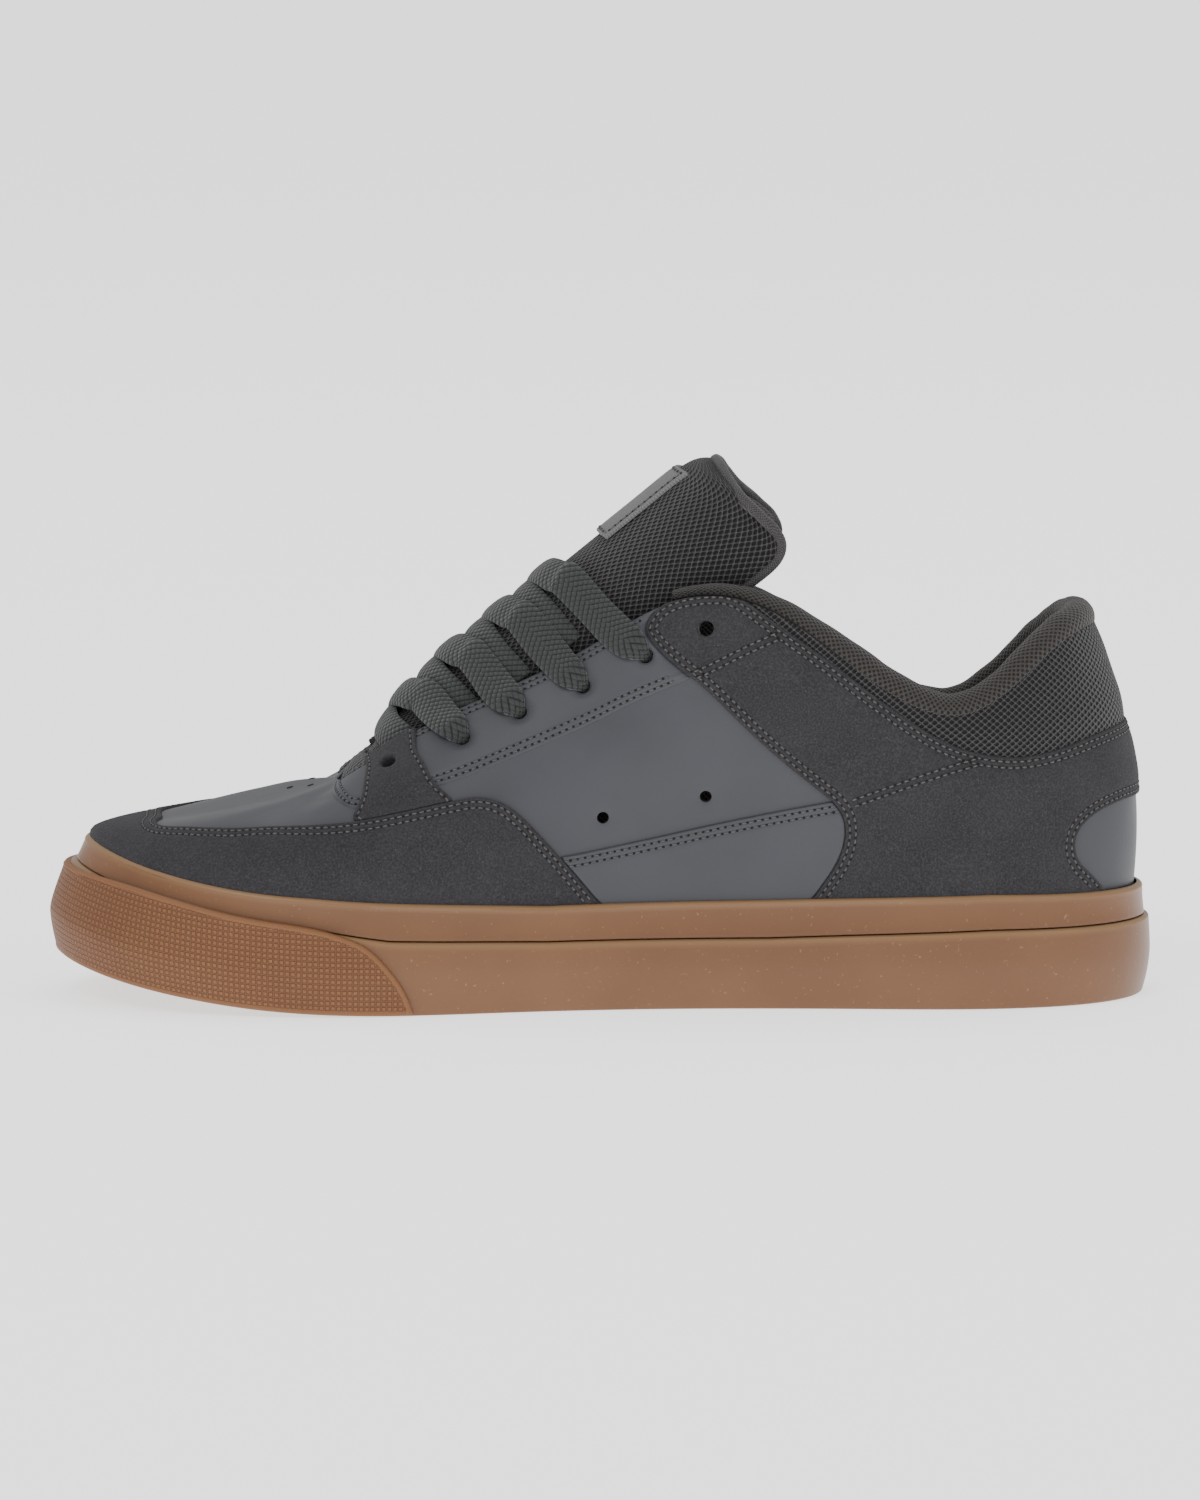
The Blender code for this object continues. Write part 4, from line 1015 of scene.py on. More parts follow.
def thread(name, colour, light):
    made, tree, shader = new_material(name)
    twist_highlight = noise(tree, object_coordinates(tree), 0.5 * MM)
    # The lighter colour, mixed in by the twist noise, is a painted highlight on the twisted thread.
    shade = mixed(tree, ranged(tree, twist_highlight, 0.3, 0.7), colour, light)
    tree.links.new(shade, shader.inputs["Base Color"])
    shader.inputs["Roughness"].default_value = 0.62
    shader.inputs["Sheen Weight"].default_value = 0.1
    return made


LEATHER = coated_leather("coated_leather", "#393A3F", "#3F4045")
SUEDE = suede("brushed_suede", "#2B2A2D", "#302F32")
SUEDE_THREAD = thread("bonded_nylon_thread_on_suede", "#3D3B3A", "#575454")
LEATHER_THREAD = thread("bonded_nylon_thread_on_leather", "#37383A", "#525254")
# Near-black material for the needle holes and pin holes: painted shade, standing for the shadow
# inside each hole.
PAINTED_HOLE_SHADE, _, hole_shade_shader = new_material("punched_hole_shadow")
hole_shade_shader.inputs["Base Color"].default_value = linear("#101011")
hole_shade_shader.inputs["Roughness"].default_value = 0.95
print("leathers ready")


# %% [markdown]
# ## Mesh, knit, braid and label
#
# The tongue and the collar are padded with a warp-knit spacer mesh: raised ridges that cross at a
# slant, with an open cell between them that is painted nearly black as shade. The collar's binding is
# a finer knit. The lace is a flat tubular braid, whose ribs meet in a row of arrow heads. The
# patterns follow the lengths that each piece carries along its own cloth, so they bend with the
# surface.

# %% Mesh, knit, braid and label
def ribs(tree, coordinates, pitch_along, pitch_across):
    """Ridges at a slant: 0 on each ridge line and 1 halfway between two."""
    slant = (math.pi / pitch_along, math.pi / pitch_across, 0.0)
    way = add(tree, "VectorMath", {0: coordinates, 1: slant}, operation="DOT_PRODUCT")
    wave = add(tree, "Math", {0: way.outputs["Value"]}, operation="SINE").outputs[0]
    return add(tree, "Math", {0: wave}, operation="ABSOLUTE").outputs[0]


def open_mesh(name, along, across, ridge, ridge_light, hole, depth, cell=(0.42, 0.66), rough=0.8):
    made, tree, shader = new_material(name)
    cloth = cloth_coordinates(tree)
    one_way, other_way = ribs(tree, cloth, along, across), ribs(tree, cloth, along, -across)
    cells = sums(tree, "MULTIPLY", one_way, other_way)
    yarns = noise(tree, object_coordinates(tree), 0.4 * MM, 2)
    top = mixed(tree, ranged(tree, yarns, 0.3, 0.7), ridge, ridge_light)
    # The cells between the ridges take the hole colour: painted shade, near black in the open mesh
    # and darker in the finer knits.
    tree.links.new(mixed(tree, ranged(tree, cells, *cell), top, hole), shader.inputs["Base Color"])
    shader.inputs["Roughness"].default_value = rough
    shader.inputs["Specular IOR Level"].default_value = 0.25
    shader.inputs["Sheen Weight"].default_value = 0.15
    height = sums(tree, "SUBTRACT", 1.0, cells)
    bumps(tree, shader, [(height, depth), (yarns, 0.05 * MM)])
    return made


def braid(name):
    made, tree, shader = new_material(name)
    cloth = cloth_coordinates(tree)
    folded = add(tree, "VectorMath", {0: cloth}, operation="ABSOLUTE").outputs["Vector"]
    arrows = ribs(tree, folded, 1.9 * MM, 2.6 * MM)
    yarns = ribs(tree, folded, 1.9 * MM, -1.9 * MM)
    fuzz = noise(tree, object_coordinates(tree), 0.5 * MM, 3)
    shade = sums(tree, "MULTIPLY", ranged(tree, arrows, 0.0, 0.7), ranged(tree, yarns, -0.5, 0.6))
    base = mixed(tree, shade, "#18191A", "#3A3C3C")
    fuzzed = mixed(tree, sums(tree, "MULTIPLY", ranged(tree, fuzz, 0.5, 0.8), 0.3), base, "#474A48")
    tree.links.new(fuzzed, shader.inputs["Base Color"])
    shader.inputs["Roughness"].default_value = 0.9
    shader.inputs["Specular IOR Level"].default_value = 0.15
    shader.inputs["Sheen Weight"].default_value = 0.2
    bumps(tree, shader, [(arrows, 0.24 * MM), (yarns, 0.18 * MM), (fuzz, 0.08 * MM)])
    return made


def woven_label(name):
    made, tree, shader = new_material(name)
    cloth = cloth_coordinates(tree)
    weft = ribs(tree, cloth, 0.9 * MM, 0.9 * MM)
    warp = ribs(tree, cloth, 0.9 * MM, -0.9 * MM)
    cells = sums(tree, "MULTIPLY", weft, warp)
    # The grooves of the weave are coloured darker: painted shade.
    tree.links.new(mixed(tree, cells, "#5D5C5D", "#737274"), shader.inputs["Base Color"])
    shader.inputs["Roughness"].default_value = 0.6
    bumps(tree, shader, [(cells, 0.10 * MM)])
    return made


MESH = open_mesh(
    "spacer_mesh", 2.4 * MM, 1.8 * MM, "#3B3839", "#4A4748", "#070708", 0.60 * MM, (0.10, 0.40))
COLLAR_KNIT = open_mesh(
    "collar_knit", 1.7 * MM, 1.3 * MM, "#35312F", "#433F3D", "#161414", 0.30 * MM, (0.30, 0.75))
LINING = open_mesh(
    "knit_lining", 1.6 * MM, 1.4 * MM, "#45413F", "#55504D", "#181717", 0.25 * MM, (0.45, 0.8))
BINDING = open_mesh("woven_binding", 0.8 * MM, 1.2 * MM, "#3F3D3E", "#504D4E", "#2A292A", 0.12 * MM)
BRAID = braid("flat_cotton_braid")
LABEL = woven_label("plain_woven_label")
FOOTBED = open_mesh("footbed_cloth", 0.9 * MM, 0.9 * MM, "#38383A", "#434345", "#2A2A2C", 0.06 * MM)
print("cloths ready")


# %% [markdown]
# ## Gum rubber
#
# Gum rubber is natural rubber without filler: brown as caramel and a little see-through. Its colour
# is lightened near the top edges and cut rims: a painted highlight. It comes out of the mould satin,
# with soft flow marks and tiny specks. The toe bumper is a separate patch, moulded with small bricks
# about 1.5 mm long.

# %% Gum rubber
def gum_rubber(name, body, deep, edge, bricks=False):
    made, tree, shader = new_material(name)
    place = object_coordinates(tree)
    flow = noise(tree, place, 40 * MM, 3)
    specks = noise(tree, place, 1.1 * MM, 2, 0.6)
    base = mixed(tree, ranged(tree, flow, 0.3, 0.7), body, deep)
    spots = sums(tree, "MULTIPLY", ranged(tree, specks, 0.66, 0.74), 0.35)
    spotted = mixed(tree, spots, base, "#A98B66")
    # Towards the top edge or cut rim the colour is mixed towards edge: a painted highlight.
    rim = add(tree, "Attribute", attribute_name="rim").outputs["Fac"]
    edge_highlight_share = ranged(tree, rim, 0.2 * MM, 2.6 * MM, 0.85, 0.0)
    colour = mixed(tree, edge_highlight_share, spotted, edge)
    shader.inputs["Roughness"].default_value = 0.62 if bricks else 0.38
    shader.inputs["IOR"].default_value = 1.52
    shader.inputs["Specular IOR Level"].default_value = 0.38
    layers = [(flow, 0.12 * MM), (specks, 0.03 * MM)]
    if bricks:
        scale = (1 / MM, 1 / MM, 0.0)
        cloth = add(tree, "VectorMath", {0: cloth_coordinates(tree), 1: scale}, operation="MULTIPLY")
        inputs = {
            "Vector": cloth.outputs["Vector"], "Scale": 1.0, "Mortar Size": 0.30,
            "Mortar Smooth": 0.6, "Brick Width": 1.50, "Row Height": 1.45,
        }
        joints = add(tree, "TexBrick", inputs, offset=0.0).outputs["Fac"]
        inside = ranged(tree, rim, 1.3 * MM, 1.9 * MM)
        height = sums(tree, "MULTIPLY", sums(tree, "SUBTRACT", 1.0, joints), inside)
        shade = sums(tree, "MULTIPLY", joints, sums(tree, "MULTIPLY", inside, 0.55))
        colour = mixed(tree, shade, colour, "#5C3A22")
        layers.append((height, 0.45 * MM))
    tree.links.new(colour, shader.inputs["Base Color"])
    bumps(tree, shader, layers)
    return made


# The last colour of each rubber is its painted edge highlight.
GUM = gum_rubber("moulded_gum_rubber", "#775134", "#6E4A2F", "#866746")
BUMPER_GUM = gum_rubber("brick_moulded_gum_rubber", "#7F5332", "#764A2C", "#7D5434", bricks=True)
SOLE_GUM, sole_tree, sole_shader = new_material("outsole_gum_rubber")
sole_flow = noise(sole_tree, object_coordinates(sole_tree), 30 * MM, 3)
sole_colour = mixed(sole_tree, sole_flow, "#7E5A40", "#704D35")
sole_tree.links.new(sole_colour, sole_shader.inputs["Base Color"])
sole_shader.inputs["Roughness"].default_value = 0.55
sole_grain = noise(sole_tree, object_coordinates(sole_tree), 1.2 * MM)
bumps(sole_tree, sole_shader, [(sole_grain, 0.08 * MM)])
print("rubbers ready")


# %% [markdown]
# ## The shell
#
# The upper is one shell on the last: thin over the toes, padded at the collar. It carries the vamp,
# the bare middle of each quarter and the heel patch. The leather has been pulled over the last and
# has lived in a box, so it has a few soft hollows: they are listed one by one, each with a middle, a
# direction and a size.

# %% The shell
PIECES = []


def dress(obj, node, materials):
    """Gives a piece its materials and slot, and lets it stand for a solid of the frame."""
    for made in materials:
        obj.data.materials.append(made)
    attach(obj, "root")
    if node:
        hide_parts(node)
    PIECES.append(obj)
    return obj


# along, across (share of the ball's width), width and length in mm, turn in degrees, depth in mm
CREASES = (
    (0.735, -0.30, 3.2, 18, 65, 0.20), (0.752, -0.22, 3.0, 15, 55, -0.10),
    (0.730, 0.30, 3.2, 18, -65, 0.20), (0.760, 0.20, 3.0, 14, -50, -0.09),
    (0.800, -0.10, 5.0, 24, 20, 0.22), (0.818, 0.12, 5.0, 22, -15, 0.20),
    (0.560, -0.47, 5.0, 26, 10, 0.18), (0.560, 0.52, 5.0, 26, -10, 0.18),
)


def creases(place):
    """Height of the soft troughs and ridges in the leather, over the plan."""
    height = np.zeros(len(place))
    for along, across, width, length, turn, depth in CREASES:
        dx = place[:, 0] - float(x_at(along))
        dy = place[:, 1] - across * BALL_WIDTH
        angle = math.radians(turn)
        u = dx * math.cos(angle) + dy * math.sin(angle)
        v = -dx * math.sin(angle) + dy * math.cos(angle)
        height -= depth * MM * np.exp(-(u / (width * MM)) ** 2 - (v / (length * MM / 2)) ** 2)
    return height


def wall_at(place):
    """The upper's wall: thicker where the collar is padded."""
    along = along_at(place[:, 0])
    back = np.clip((0.43 - along) / 0.13, 0, 1)
    edge = np.interp(along, SECTION["top_along"], SECTION["top"])
    below = (COLLAR_HEIGHT * edge - place[:, 2]) / (PAD_DEPTH * COLLAR_HEIGHT)
    near = np.clip(1 - below, 0, 1)
    near = near * near * (3 - 2 * near)
    return UPPER_WALL + (COLLAR_PAD - UPPER_WALL) * near * back


SHELL = upper_sheet(441, 79)
shell, _ = cut_piece(
    "upper_shell", SHELL, np.full(SHELL.points.shape[:2], 0.04), 0.0, holes=eyelets + vents,
    shape=lambda place, near, bed: creases(place) - 0.00035 * np.exp(-np.maximum(near, 0) / 0.0012),
    under=lambda place, near, bed: -wall_at(place),
)
dress(shell, "upper", [LEATHER, LINING])


# %% [markdown]
# ## Suede and leather overlays
#
# Each overlay is 0.9 to 1.1 mm thick with a softly rounded cut edge, and is sewn down by two rows
# of stitches, 1.3 and 2.9 mm inside its edge. The thread pulls a shallow groove, and between the
# groove and the middle of the piece the leather swells a little.

# %% Suede and leather overlays
STITCH_ROWS = (0.0013, 0.0029)


def seen(place):
    """A stitch is made only where it isn't hidden behind the foxing."""
    along = float(np.clip(along_at(place[0]), 0, 1))
    return place[2] > float(foxing_height(along, FOXING_TOP)) + 0.0005


def lines_of(seams, rows=None):
    return [line for row, lines in seams.items() if rows is None or row in rows for line in lines]


toe_cap, toe_seams = cut_piece(
    "toe_cap_suede", UPPER, toe_field, OVERLAY_WALL, grooves=STITCH_ROWS, puff=0.0002,
    shape=lambda place, near, bed: 0.6 * creases(place),
)
dress(toe_cap, "toe_cap", [SUEDE, SUEDE])
sewn = sew("toe_cap_stitches", lines_of(toe_seams), keep=seen)
dress(sewn, None, [SUEDE_THREAD, PAINTED_HOLE_SHADE])

back_quarter, back_seams = cut_piece(
    "back_quarter_suede", UPPER, back_field, OVERLAY_WALL, grooves=STITCH_ROWS, puff=0.0002,
    holes=eyelets,
)
dress(back_quarter, "back_quarter", [SUEDE, SUEDE])
sewn = sew("back_quarter_stitches", lines_of(back_seams), keep=seen)
dress(sewn, None, [SUEDE_THREAD, PAINTED_HOLE_SHADE])



def skived(place, near, bed):
    """The leather's edge is pared down, so it hardly stands above what it lies on."""
    return -0.0006 * (1 - smoothstep(0.0, 0.0024, near))


stay_only = np.minimum(stay_field, -back_field)
eyestay, stay_seams = cut_piece(
    "eyestay_leather", UPPER, stay_only, EYESTAY_WALL, grooves=STITCH_ROWS, holes=eyelets,
    groove_depth=0.00018, shape=skived, seam=np.minimum(stay_field, near_top),
)
dress(eyestay, "eyestay", [LEATHER, LEATHER])


def clear_of_back(place):
    distance = signed_distance(np.asarray(place)[None], back_outline)[0]
    return seen(place) and distance < -0.0026


sewn = sew("eyestay_stitches", lines_of(stay_seams), keep=clear_of_back)
dress(sewn, None, [LEATHER_THREAD, PAINTED_HOLE_SHADE])

PANEL_TOP_LINE = np.insert(drawn(PANEL_EDGE), 1, 0.0, axis=1)


def along_top(place):
    """The side panel's stitches run along its top edge alone."""
    away = line_distance(np.asarray(place)[None] * (1, 0, 1), PANEL_TOP_LINE)[0]
    return seen(place) and away < 0.0050


turned = side_of(even_turns(UPPER.points.shape[0]))[:, None] * np.ones(UPPER.points.shape[1])
for side, word in ((-1, "medial"), (1, "lateral")):
    on_side = np.where(turned == side, 0.05, -0.02)
    panel_only = np.minimum(np.minimum(panel_field, on_side), np.minimum(-back_field, -toe_field))
    panel, panel_seams = cut_piece(
        f"side_panel_{word}_leather", UPPER, panel_only, EYESTAY_WALL, grooves=STITCH_ROWS,
        groove_depth=0.00018, seam=panel_field,
    )
    dress(panel, f"side_panel_{word}", [LEATHER, LEATHER])

    sewn = sew(f"side_panel_{word}_stitches", lines_of(panel_seams), keep=along_top)
    dress(sewn, None, [LEATHER_THREAD, PAINTED_HOLE_SHADE])

    tab_only = np.minimum(np.minimum(tab_field, on_side), -toe_field)
    tab, tab_seams = cut_piece(
        f"lace_tab_{word}_suede", UPPER, tab_only, OVERLAY_WALL, grooves=STITCH_ROWS[:1],
        bed=EYESTAY_WALL * smoothstep(-0.0008, 0.0008, stay_field), holes=eyelets, seam=tab_field,
    )
    dress(tab, f"lace_tab_{word}", [SUEDE, SUEDE])
    sewn = sew(f"lace_tab_{word}_stitches", lines_of(tab_seams), keep=seen)
    dress(sewn, None, [SUEDE_THREAD, PAINTED_HOLE_SHADE])


# %% [markdown]
# ## The collar
#
# Behind the eyelets the ankle is cushioned: a puffed band of mesh below the top line, and a
# padded knit roll along it. The band is cut from the last's surface like any overlay, but swells
# in the middle. The roll is a soft arch that runs along the top edge and dies out towards the
# throat.

# %% The collar
def mesh_swell(place, near, bed):
    return 0.0017 * np.sqrt(smoothstep(0.0, 0.011, near)) - 0.0004


collar_mesh, _ = cut_piece(
    "collar_mesh", UPPER, np.minimum(mesh_field, near_top + 0.002), 0.0004, shape=mesh_swell,
)
dress(collar_mesh, None, [MESH, MESH])


def wrapped(values, closed):
    """Ring values with each ring's first point again at its end, and the first ring too."""
    if closed:
        values = np.concatenate([values, values[:1]], 0)
    return np.concatenate([values, values[:, :1]], 1)


def tube_cloth(walked, girth):
    """The lengths along and round a tube, for its cloth."""
    along = walked[:, None] + 0 * girth
    return np.stack([along, girth + 0 * walked[:, None], 0 * along], -1)


def tube(name, rings, cloth, rim=None, closed=False):
    """A tube as an object. cloth gives each ring point's lengths along and across the cloth."""
    mesh = grid_mesh(wrapped(rings, closed))
    put_values(mesh, "cloth", grid_order(wrapped(cloth, closed)), "FLOAT_VECTOR")
    if rim is not None:
        put_values(mesh, "rim", grid_order(wrapped(rim, closed)))
    bm = taken_up(mesh)
    bmesh.ops.remove_doubles(bm, verts=bm.verts, dist=1e-7)
    bmesh.ops.holes_fill(bm, edges=[e for e in bm.edges if e.is_boundary], sides=0)
    bmesh.ops.recalc_face_normals(bm, faces=bm.faces)
    obj = make_object(name, bm)
    bm.free()
    obj.data.shade_smooth()
    obj.data.set_sharp_from_angle(angle=math.radians(70))
    print(name, len(obj.data.polygons), "faces")
    return obj


ROLL_WIDTH, ROLL_RISE = 0.0092, 0.0050
ROLL_UNDERSIDE = 0.38
ROLL_CLOTH_RADIUS = 0.0042
ROLL_END = 6.0


def collar_roll():
    turn = np.linspace(-ROLL_END, ROLL_END, 361)[::-1]
    turns = turn % LOOP
    edge = top_point(turns)
    _, normal = outline(turns)
    run = unit(np.gradient(edge, axis=0))
    inward = np.concatenate([-normal, np.zeros((len(turn), 1))], 1)
    across = unit(inward - run * np.sum(inward * run, 1)[:, None])
    up = np.cross(run, across)
    up *= np.sign(up[:, 2])[:, None]
    full = np.minimum(1.0, 0.40 + 0.15 * 2 * (ROLL_END - np.abs(turn)))
    half, rise = ROLL_WIDTH / 2 * full, ROLL_RISE * full
    middle = edge + across * COLLAR_PAD / 2 + up * SEAM_GAP
    angle = np.linspace(0, 2 * math.pi, 29)[:-1]
    wave = 1 + 0.020 * np.sin(turn * 9.3) + 0.014 * np.sin(turn * 17.1 + 1.0)
    rise_share = np.abs(np.sin(angle))
    height = np.where(np.sin(angle) > 0, rise_share ** 0.85, -ROLL_UNDERSIDE * rise_share)
    rings = (
        middle[:, None] - across[:, None] * (half[:, None] * np.cos(angle))[..., None]
        + up[:, None] * ((rise * wave)[:, None] * height)[..., None]
    )
    walked = walked_along(edge)
    girth = np.abs(angle - math.pi)[None] * ROLL_CLOTH_RADIUS
    return tube("collar_roll_knit", rings, tube_cloth(walked, girth))


roll = dress(collar_roll(), "collar_roll", [COLLAR_KNIT])


# %% [markdown]
# ## The tongue
#
# The tongue is a foam pad under mesh, arched over the instep, thin at its edges where a woven
# binding closes it. It is one sheet with its own lengths along and across, swollen to its full
# thickness a few millimetres inside the edge.

# %% The tongue
TONGUE_THICKNESS = 0.0085
TONGUE_TURN = math.radians(96)
TONGUE_SWEEP, END_SWEEP = 0.30, 0.28
TONGUE_CORNER = 2.4
TONGUE = np.array((
    (0.772, 0.478, 0.150, 0.35, 0.75, 0.40), (0.738, 0.526, 0.165, 0.55, 0.80, 0.50),
    (0.708, 0.628, 0.185, 0.85, 0.90, 0.60), (0.672, 0.762, 0.205, 1.10, 1.00, 0.75),
    (0.630, 0.871, 0.222, 1.20, 1.00, 0.85), (0.586, 0.968, 0.230, 1.22, 1.00, 0.95),
    (0.545, 1.062, 0.230, 1.25, 1.00, 1.00), (0.506, 1.155, 0.224, 1.30, 1.00, 1.00),
    (0.466, 1.245, 0.222, 1.33, 1.00, 1.00), (0.436, 1.312, 0.230, 1.30, 0.98, 0.90),
    (0.415, 1.346, 0.235, 1.20, 0.88, 0.60), (0.400, 1.354, 0.215, 1.15, 0.70, 0.30),
))
TONGUE_ROWS = len(TONGUE) - 1
RIDGE_ALONG, RIDGE_HEIGHT, HALF_WIDTH, DROP, REACH, THICK = range(6)


def tongue_value(column, at):
    return natural_curve(TONGUE[:, column], at)


def ridge_point(at):
    x = x_at(tongue_value(RIDGE_ALONG, at))
    return np.stack([x, spine_y(x), COLLAR_HEIGHT * tongue_value(RIDGE_HEIGHT, at)], -1)


def tongue_point(at, across, lift=0.0):
    """Points of the tongue's outer face, raised by lift, and their normals."""
    at, across = np.broadcast_arrays(np.asarray(at, float), np.asarray(across, float))
    low, high = np.maximum(at - 0.05, 0), np.minimum(at + 0.05, TONGUE_ROWS)
    run = unit(ridge_point(high) - ridge_point(low))
    normal = np.stack([-run[..., 2], 0 * run[..., 1], run[..., 0]], -1)
    half = BALL_WIDTH * tongue_value(HALF_WIDTH, at)
    drop = half * tongue_value(DROP, at)
    turn = across * TONGUE_TURN
    y = np.array([0.0, 1.0, 0.0])
    out = unit(normal * (np.cos(turn) / drop)[..., None] + y * (np.sin(turn) / half)[..., None])
    fall = normal * (drop * (1 - np.cos(turn)))[..., None]
    sweep = TONGUE_SWEEP + END_SWEEP * smoothstep(7.5, 10.5, at)
    fall = fall - run * (half * sweep * np.sin(turn) ** 2)[..., None]
    point = ridge_point(at) + y * (half * np.sin(turn))[..., None] - fall
    return point + out * (lift if np.isscalar(lift) else np.asarray(lift)[..., None]), out


def tongue_sheet(first, last, rows, columns, reach=None):
    at = np.linspace(first, last, rows)[:, None]
    share = np.linspace(-1, 1, columns)[None]
    corner = np.clip((at - TONGUE_ROWS + TONGUE_CORNER) / TONGUE_CORNER, 0, 1)
    limit = tongue_value(REACH, at) * np.sqrt(1 - 0.95 * corner ** 2) if reach is None else reach
    points, _ = tongue_point(at, share * limit)
    return Sheet(points, lambda p: p - np.array([0.03, 0.0, 0.02]), mirrored=False)


tongue_face = tongue_sheet(0.0, TONGUE_ROWS, 141, 81)
rows_at = np.linspace(0, TONGUE_ROWS, 141)
side_lines = [tongue_face.points[:, 0], tongue_face.points[:, -1]]
end_line = tongue_face.points[-1]
tongue_rim = np.concatenate([side_lines[0], end_line[1:-1], side_lines[1][::-1]])
tongue_edge = line_distance(tongue_face.points, tongue_rim)
thickness = TONGUE_THICKNESS * tongue_value(THICK, rows_at)[:, None]
thickness = thickness * (1 - 0.5 * np.abs(np.linspace(-1, 1, 81))[None] ** 3)
PAD_ROUND = 0.0065


def pad_round(near):
    return 1 - np.sqrt(np.maximum(1 - np.clip(1 - near / PAD_ROUND, 0, 1) ** 2, 0))


def tongue_top(place, near, thick):
    quilt = 0.0004 * np.sin(place[:, 2] / 0.0075) * smoothstep(0.004, 0.012, near)
    return -0.42 * thick * pad_round(near) + quilt


def tongue_under(place, near, thick):
    return -thick + 0.42 * thick * pad_round(near)


tongue, _ = cut_piece(
    "tongue_mesh", tongue_face, tongue_edge + 0.0002, 0.0, rim=0.0004, bed=thickness,
    shape=tongue_top, under=tongue_under,
)
dress(tongue, "tongue", [MESH, LINING])



def round_edge(values):
    """Values of the tongue's sheet, read up one side, across the end and down the other."""
    return np.concatenate([values[:, 0], values[-1, 1:-1], values[::-1, -1]])


edge_depth, edge_out = round_edge(thickness), round_edge(tongue_face.normals)


def binding_tape():
    """A flat tape folded over the tongue's edge."""
    keep = slice(40, len(tongue_rim) - 40)
    line = (tongue_rim - edge_out * (0.5 * edge_depth)[:, None])[keep]
    out = edge_out[keep]
    thick = edge_depth[keep]
    walked = walked_along(line)
    at = np.linspace(0, walked[-1], 260)
    line, out = read_along(at, walked, line), unit(read_along(at, walked, out))
    kernel = np.ones(9) / 9
    for k in range(3):
        line[4:-4, k] = np.convolve(line[:, k], kernel, "valid")
        out[4:-4, k] = np.convolve(out[:, k], kernel, "valid")
    run = unit(np.gradient(line, axis=0))
    across = unit(np.cross(out, run))
    out = np.cross(run, across)
    thick = np.interp(at, walked, thick)
    angle = np.linspace(0, 2 * math.pi, 17)[:-1]
    wide, tall = 0.0014, 0.5 * np.minimum(thick, 0.0040)[:, None] * 0.45 + 0.0009
    flat = wide * np.sign(np.cos(angle)) * np.abs(np.cos(angle)) ** 0.8
    rings = (
        line[:, None] + across[:, None] * flat[None, :, None]
        + out[:, None] * (tall * np.sin(angle))[..., None]
    )
    girth = np.abs(angle - math.pi)[None] * 0.0018
    return tube("tongue_binding", rings, tube_cloth(at, girth))


dress(binding_tape(), None, [BINDING])

LABEL_ROWS, LABEL_REACH, LABEL_WALL = (7.05, 9.2), 0.23, 0.0006
label_face = tongue_sheet(*LABEL_ROWS, 61, 45, reach=LABEL_REACH)
label_rim = np.concatenate([
    label_face.points[:, 0], label_face.points[-1, 1:], label_face.points[::-1, -1][1:],
    label_face.points[0, ::-1][1:],
])
label, label_seams = cut_piece(
    "tongue_label_woven", label_face, line_distance(label_face.points, label_rim) + 1e-5, LABEL_WALL,
    rim=0.0004, grooves=(0.0012,), groove_depth=0.0001,
    bed=np.full(label_face.points.shape[:2], 0.0006),
)
dress(label, "tongue_label", [LABEL, LABEL])
sewn = sew("tongue_label_stitches", lines_of(label_seams))
dress(sewn, None, [SUEDE_THREAD, PAINTED_HOLE_SHADE])


# %% [markdown]
# ## The lace
#
# One flat braided lace, 9.8 mm wide. From each eyelet a strand climbs over the tongue, crosses
# its partner and dives under the far stay, while the other strand goes over the near stay and
# into its eyelet from outside. Each strand is a swept flat tube: its middle line is given by
# places on the tongue and ends inside the eyelet.

# %% The lace
LACE_WIDTH, LACE_THICKNESS = 0.0098, 0.0027
LACE_ROWS = (2.86, 3.87, 4.87, 5.86)
LACE_BAR_ROW = 1.45
OVER_PATH = (0.05, 0.00, -0.95)
UNDER_PATH = (-0.95, -0.42, 0.05)
LACE_PLACES = np.array((-0.68, -0.45, -0.15, 0.25, 0.50, 0.68))
OVER_LIFTS = np.array((3.2, 2.9, 2.4, 2.5, 1.5, 0.7)) * MM
UNDER_LIFTS = np.array((0.8, 0.9, 1.4, 1.6, 2.6, 3.2)) * MM
BAR_LIFTS = np.full(6, 1.1) * MM


def smooth_line(points, count):
    """A smooth line through points, spaced evenly by count."""
    points = np.asarray(points)
    fine = np.linspace(0, len(points) - 1, 40 * len(points))
    line = np.stack([natural_curve(points[:, k], fine) for k in range(points.shape[1])], -1)
    walked = walked_along(line[:, :3])
    at = np.linspace(0, walked[-1], count)
    return read_along(at, walked, line), at


